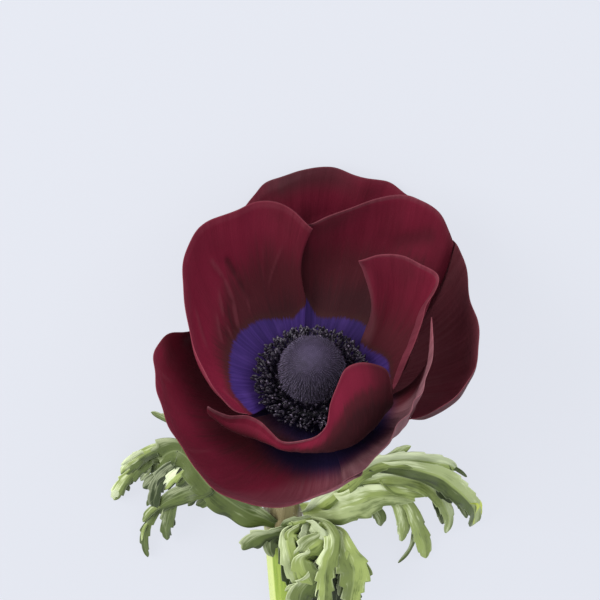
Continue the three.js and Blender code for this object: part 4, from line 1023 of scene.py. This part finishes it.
def bract_material():
    tree = Tree("bract_leaf")
    across, run, tone = tree.value("across"), tree.value("run"), tree.value("tone")
    edge, back, luck, lit = tree.value("edge"), tree.value("back"), tree.value("luck"), tree.value("lit")
    streaks = tree.flow(across, 6.0, run, 0.16, luck, 4, 0.6)
    patches = tree.flow(across, 0.9, run, 0.11, luck, 2, 0.5)
    fine = tree.noise(tree.place(), 1500.0, 3, 0.6)
    # Tone: dark green, partly painted shade, through pale green to greyish white, a painted highlight, and
    # to yellow
    colour = tree.mix(tree.step(tone, 0.0, 0.35), (0.022, 0.036, 0.008), (0.072, 0.102, 0.022))
    colour = tree.mix(tree.step(tone, 0.3, 1.0), colour, (0.275, 0.345, 0.098))
    colour = tree.mix(tree.step(tone, 1.0, 1.4), colour, (0.500, 0.560, 0.360))
    colour = tree.mix(tree.step(tone, 1.7, 2.0), colour, (0.500, 0.580, 0.070))
    # Painted light and shade: lit comes from the side facing LIGHT_SIDE, with random streaks and patches;
    # dark is a painted-shade copy of the colour and light a painted-highlight copy
    shade = tree.sum(tree.times(lit, 0.5), tree.swing(streaks, 0.9), tree.swing(patches, 1.5))
    dark = tree.mix(1.0, colour, (0.34, 0.38, 0.25), "MULTIPLY")
    light = tree.mix(tree.step(tone, 0.2, 1.0, 0.3, 0.8), colour, (0.78, 0.86, 0.54))
    colour = tree.mix(tree.step(shade, -0.05, -0.45), colour, dark)
    colour = tree.mix(tree.step(shade, 0.08, 0.5), colour, light)
    midrib = tree.step(tree.math("ABSOLUTE", across), 0.10, 0.02, 0, 0.14)
    colour = tree.mix(midrib, colour, (0.50, 0.58, 0.30))
    colour = tree.mix(tree.step(edge, 0.14, 0.0, 0, 0.14), colour, (0.55, 0.62, 0.42))
    colour = tree.mix(tree.times(back, 0.2), colour, (0.30, 0.38, 0.20))
    height = tree.sum(streaks, tree.times(fine, 0.3))
    return tree.finish(
        Base_Color=colour, Roughness=tree.step(streaks, 0.3, 0.7, 0.38, 0.52), Specular_IOR_Level=0.32,
        Sheen_Weight=0.05, Sheen_Roughness=0.4, Sheen_Tint=(0.9, 0.97, 0.9, 1),
        Normal=tree.bump(height, 0.6, 0.0002))


# ---- Stem ---------------------------------------------------------------------------------------------

STEM_SHIFT = np.array([0.0, -14.0, 0.0])  # from the table of the path to the frame
STEM_TOP = [[0.6, 3.4], [-0.4, 4.4], [-4.8, 4.6], [-5.5, 6.2], [-7.3, 5.6]]  # height along the axis, radius
STEM_PATH = [  # x, y, height above the floor, radius
    [-1.4, -29.4, 12.6, 4.9], [-3.2, -36, 8.8, 4.8], [-4.9, -43, 6.4, 5], [-6.3, -50.5, 5.4, 5.2],
    [-7.2, -58, 5.2, 5.2], [-7.5, -63, 5.2, 5.2], [-7.2, -69, 5, 5], [-6.5, -80, 5, 5], [-5, -100, 5, 5],
    [-3.2, -120, 5, 5], [-1, -140, 5, 5], [1, -160, 5, 5], [3, -180, 5, 5], [5, -200, 5, 5], [7, -221, 5, 5],
]
STEM_SIDES = 96
STEM_RIDGES = 8
STEM_RIDGE = 0.25
STEM_RINGS = 230
STEM_LINES, STEM_LINE = 31, 0.035  # how many fine ridges, and half their height
CUT_SLOPE = 0.5
CUT_LENGTH = 12  # of the stretch of stem over which the slanting cut fades in
NODE_Y = -74.0  # where the bracts grow
STEM_HAIRS = 2600
HAIR_WIDTH = 0.055
HAIRLESS_RINGS = 12, 3  # at the top and at the cut


def stem_piece(material):
    random = np.random.default_rng(5)
    top = np.array([[*polar(0, 0, h), r] for h, r in STEM_TOP])
    path = np.array(STEM_PATH, float)
    path[:, :3] += STEM_SHIFT
    rows = np.vstack([top, path])
    run = run_of(rows[:, :3])
    count = STEM_RINGS
    place = np.interp(np.linspace(0, run[-1], count), run, np.arange(len(rows)) / (len(rows) - 1))
    middle = curve(rows[:, :3], place)
    radius = np.interp(np.linspace(0, run[-1], count), run, rows[:, 3])
    along = unit(np.gradient(middle, axis=0))
    up = unit(np.cross(np.array([1.0, 0, 0]), along))
    side = unit(np.cross(up, along))
    angle = np.linspace(0, 2 * math.pi, STEM_SIDES, endpoint=False) - math.pi / 2
    s = np.linspace(0, 1, count)[:, None]
    ridge = STEM_RIDGE * (0.5 - 0.5 * np.cos(STEM_RIDGES * (angle + math.pi / 2)))[None]
    fine = STEM_LINE * (1 - np.cos(STEM_LINES * angle + 2 * np.sin(9 * s)))
    r = radius[:, None] - ridge - fine
    rings = middle[:, None] + r[..., None] * around(angle, side, up)
    rings[..., 2] = np.maximum(rings[..., 2], 0)
    fade = smooth(run[-1] - CUT_LENGTH, run[-1], np.linspace(0, run[-1], count))[:, None]
    rings[..., 1] += CUT_SLOPE * (rings[..., 2] - middle[:, None, 2]) * fade
    parts = Parts()
    column = np.tile(angle, count)
    down = np.repeat(middle[:, 1], STEM_SIDES)
    faces = [grid_faces(count, STEM_SIDES, wrap=True)[:, ::-1], np.arange(STEM_SIDES)[None]]
    parts.add(rings.reshape(-1, 3), faces, turn=column, down=down, cut=0.0, hair=0.0)
    shares = np.array([1.0, 0.96, 0.84, 0.6, 0.35, 0.12])
    dish = np.array([0.0, 0.0, 0.35, 0.5, 0.6, 0.62])
    centre = rings[-1].mean(0)
    cap = centre + shares[:, None, None] * (rings[-1] - centre)[None] - along[-1] * dish[:, None, None]
    inmost = (len(shares) - 1) * STEM_SIDES + np.arange(STEM_SIDES)[None, ::-1]
    faces = [grid_faces(len(shares), STEM_SIDES, wrap=True)[:, ::-1], inmost]
    parts.add(cap.reshape(-1, 3), faces, turn=np.tile(angle, len(shares)), down=centre[1],
              cut=np.repeat(1.05 - 0.7 * shares, STEM_SIDES), hair=0.0)
    i = random.integers(HAIRLESS_RINGS[0], count - HAIRLESS_RINGS[1], STEM_HAIRS)
    j = random.integers(0, STEM_SIDES, STEM_HAIRS)
    root = rings[i, j]
    out = unit(root - middle[i])
    lean = unit(out + 0.35 * along[i] + random.normal(0, 0.25, out.shape))
    tip = root + lean * random.uniform(0.35, 0.95, STEM_HAIRS)[:, None]
    keep = tip[:, 2] > 0.02
    vertices, faces = bristles((root - out * 0.05)[keep], tip[keep], HAIR_WIDTH)
    parts.add(vertices, faces, turn=np.repeat(angle[j[keep]], 4), down=np.repeat(middle[i[keep], 1], 4),
              cut=0.0, hair=1.0)
    return parts.make("stem_skin", material, ["stem"])


def stem_material():
    tree = Tree("stem_skin")
    turn, down, cut = tree.value("turn"), tree.value("down"), tree.value("cut")
    fibres = tree.flow(turn, 5.0, down, 0.06, 0.0, 4, 0.6)
    fine = tree.noise(tree.place(), 1400.0, 3, 0.6)
    green = tree.mix(tree.step(fibres, 0.35, 0.65), (0.230, 0.330, 0.040), (0.350, 0.450, 0.075))
    # A painted highlight: a pale strip down the stem's lit side
    lit_strip = tree.step(tree.math("COSINE", turn), 0.62, 0.70, 0, 0.95)
    green = tree.mix(lit_strip, green, (0.56, 0.64, 0.22))
    tan = tree.mix(tree.step(fibres, 0.35, 0.65), (0.190, 0.155, 0.075), (0.300, 0.255, 0.130))
    colour = tree.mix(tree.step(down, NODE_Y - 8, NODE_Y - 3.5), green, tan)
    colour = tree.mix(tree.step(down, HEART[1] - 7, HEART[1] - 4), colour, (0.020, 0.016, 0.030))
    pith = tree.mix(tree.step(cut, 0.40, 0.60), (0.36, 0.47, 0.16), (0.72, 0.78, 0.52))
    colour = tree.mix(tree.step(cut, 0.25, 0.36), colour, pith)
    colour = tree.mix(tree.times(tree.value("hair"), 0.6), colour, (0.75, 0.80, 0.62))
    height = tree.sum(fibres, tree.times(fine, 0.3))
    return tree.finish(
        Base_Color=colour, Roughness=0.48, Specular_IOR_Level=0.4, Sheen_Weight=0.15, Sheen_Roughness=0.4,
        Sheen_Tint=(0.95, 1.0, 0.9, 1), Normal=tree.bump(height, 0.5, 0.00018))


# ---- Floor, light and camera --------------------------------------------------------------------------

LENS, SENSOR = 144, 36  # a field 150 mm wide at the flower
FLOOR_HALF, FLOOR_HEIGHT = 3.0, -0.00005  # in metres
TARGET = Vector(PICTURE_MIDDLE) * MM


def looking(obj, location, direction):
    obj.location = location
    obj.rotation_euler = direction.to_track_quat("-Z", "Y").to_euler()


def add_camera():
    camera = bpy.data.objects.new("camera", bpy.data.cameras.new("camera"))
    camera.data.sensor_width = SENSOR
    camera.data.lens = LENS
    camera.data.clip_start, camera.data.clip_end = 0.01, 10
    bpy.context.scene.collection.objects.link(camera)
    turn = Matrix((PICTURE_RIGHT, PICTURE_UP, TOWARD_CAMERA)).transposed()
    camera.matrix_world = Matrix.Translation(TARGET + EYE_DISTANCE * MM * TOWARD_CAMERA) @ turn.to_4x4()
    bpy.context.scene.camera = camera


def add_light(name, offset, size, power, colour):
    """A square lamp at an offset from the flower along the picture's right and up and towards the camera."""
    light = bpy.data.objects.new(name, bpy.data.lights.new(name, "AREA"))
    light.data.size, light.data.energy, light.data.color = size, power, colour
    bpy.context.scene.collection.objects.link(light)
    place = offset[0] * PICTURE_RIGHT + offset[1] * PICTURE_UP + offset[2] * TOWARD_CAMERA
    looking(light, TARGET + place, -place)


def add_floor():
    tree = Tree("floor_paper")
    tone = tree.noise(tree.place(), 3.0, 2, 0.5)
    colour = tree.mix(tone, (0.070, 0.072, 0.078), (0.073, 0.075, 0.081))
    material = tree.finish(Base_Color=colour, Roughness=0.9, Specular_IOR_Level=0.05,
                           Emission_Color=(0.80, 0.825, 0.90, 1), Emission_Strength=0.845)
    mesh = bpy.data.meshes.new("floor")
    corners = [(-1, -1), (1, -1), (1, 1), (-1, 1)]
    corners = [(FLOOR_HALF * x, FLOOR_HALF * y, FLOOR_HEIGHT) for x, y in corners]
    mesh.from_pydata(corners, [], [(0, 1, 2, 3)])
    floor = bpy.data.objects.new("floor", mesh)
    bpy.context.scene.collection.objects.link(floor)
    floor.data.materials.append(material)


def add_world():
    world = bpy.data.worlds.new("studio")
    world.use_nodes = True
    background = world.node_tree.nodes["Background"]
    background.inputs["Color"].default_value = (0.95, 0.965, 1.0, 1)
    background.inputs["Strength"].default_value = 0.95
    bpy.context.scene.world = world


# ---- The flower ---------------------------------------------------------------------------------------

bpy.context.scene.view_settings.view_transform = "Standard"
bpy.context.scene.view_settings.look = "None"

add_camera()
add_world()
add_floor()
add_light("key", (-0.55, 0.10, 0.50), 0.50, 5.0, (1.0, 0.985, 0.96))
add_light("fill", (0.40, 0.25, 0.60), 0.60, 2.4, (0.96, 0.98, 1.0))

velvet, leaf = petal_material(), bract_material()
for number, petal in enumerate(PETALS):
    petal_piece(petal, velvet, number)
for number, bract in enumerate(BRACTS):
    bract_piece(bract, leaf, number)
dome_piece(dome_material())
stamens_piece(stamens_material())
stem_piece(stem_material())
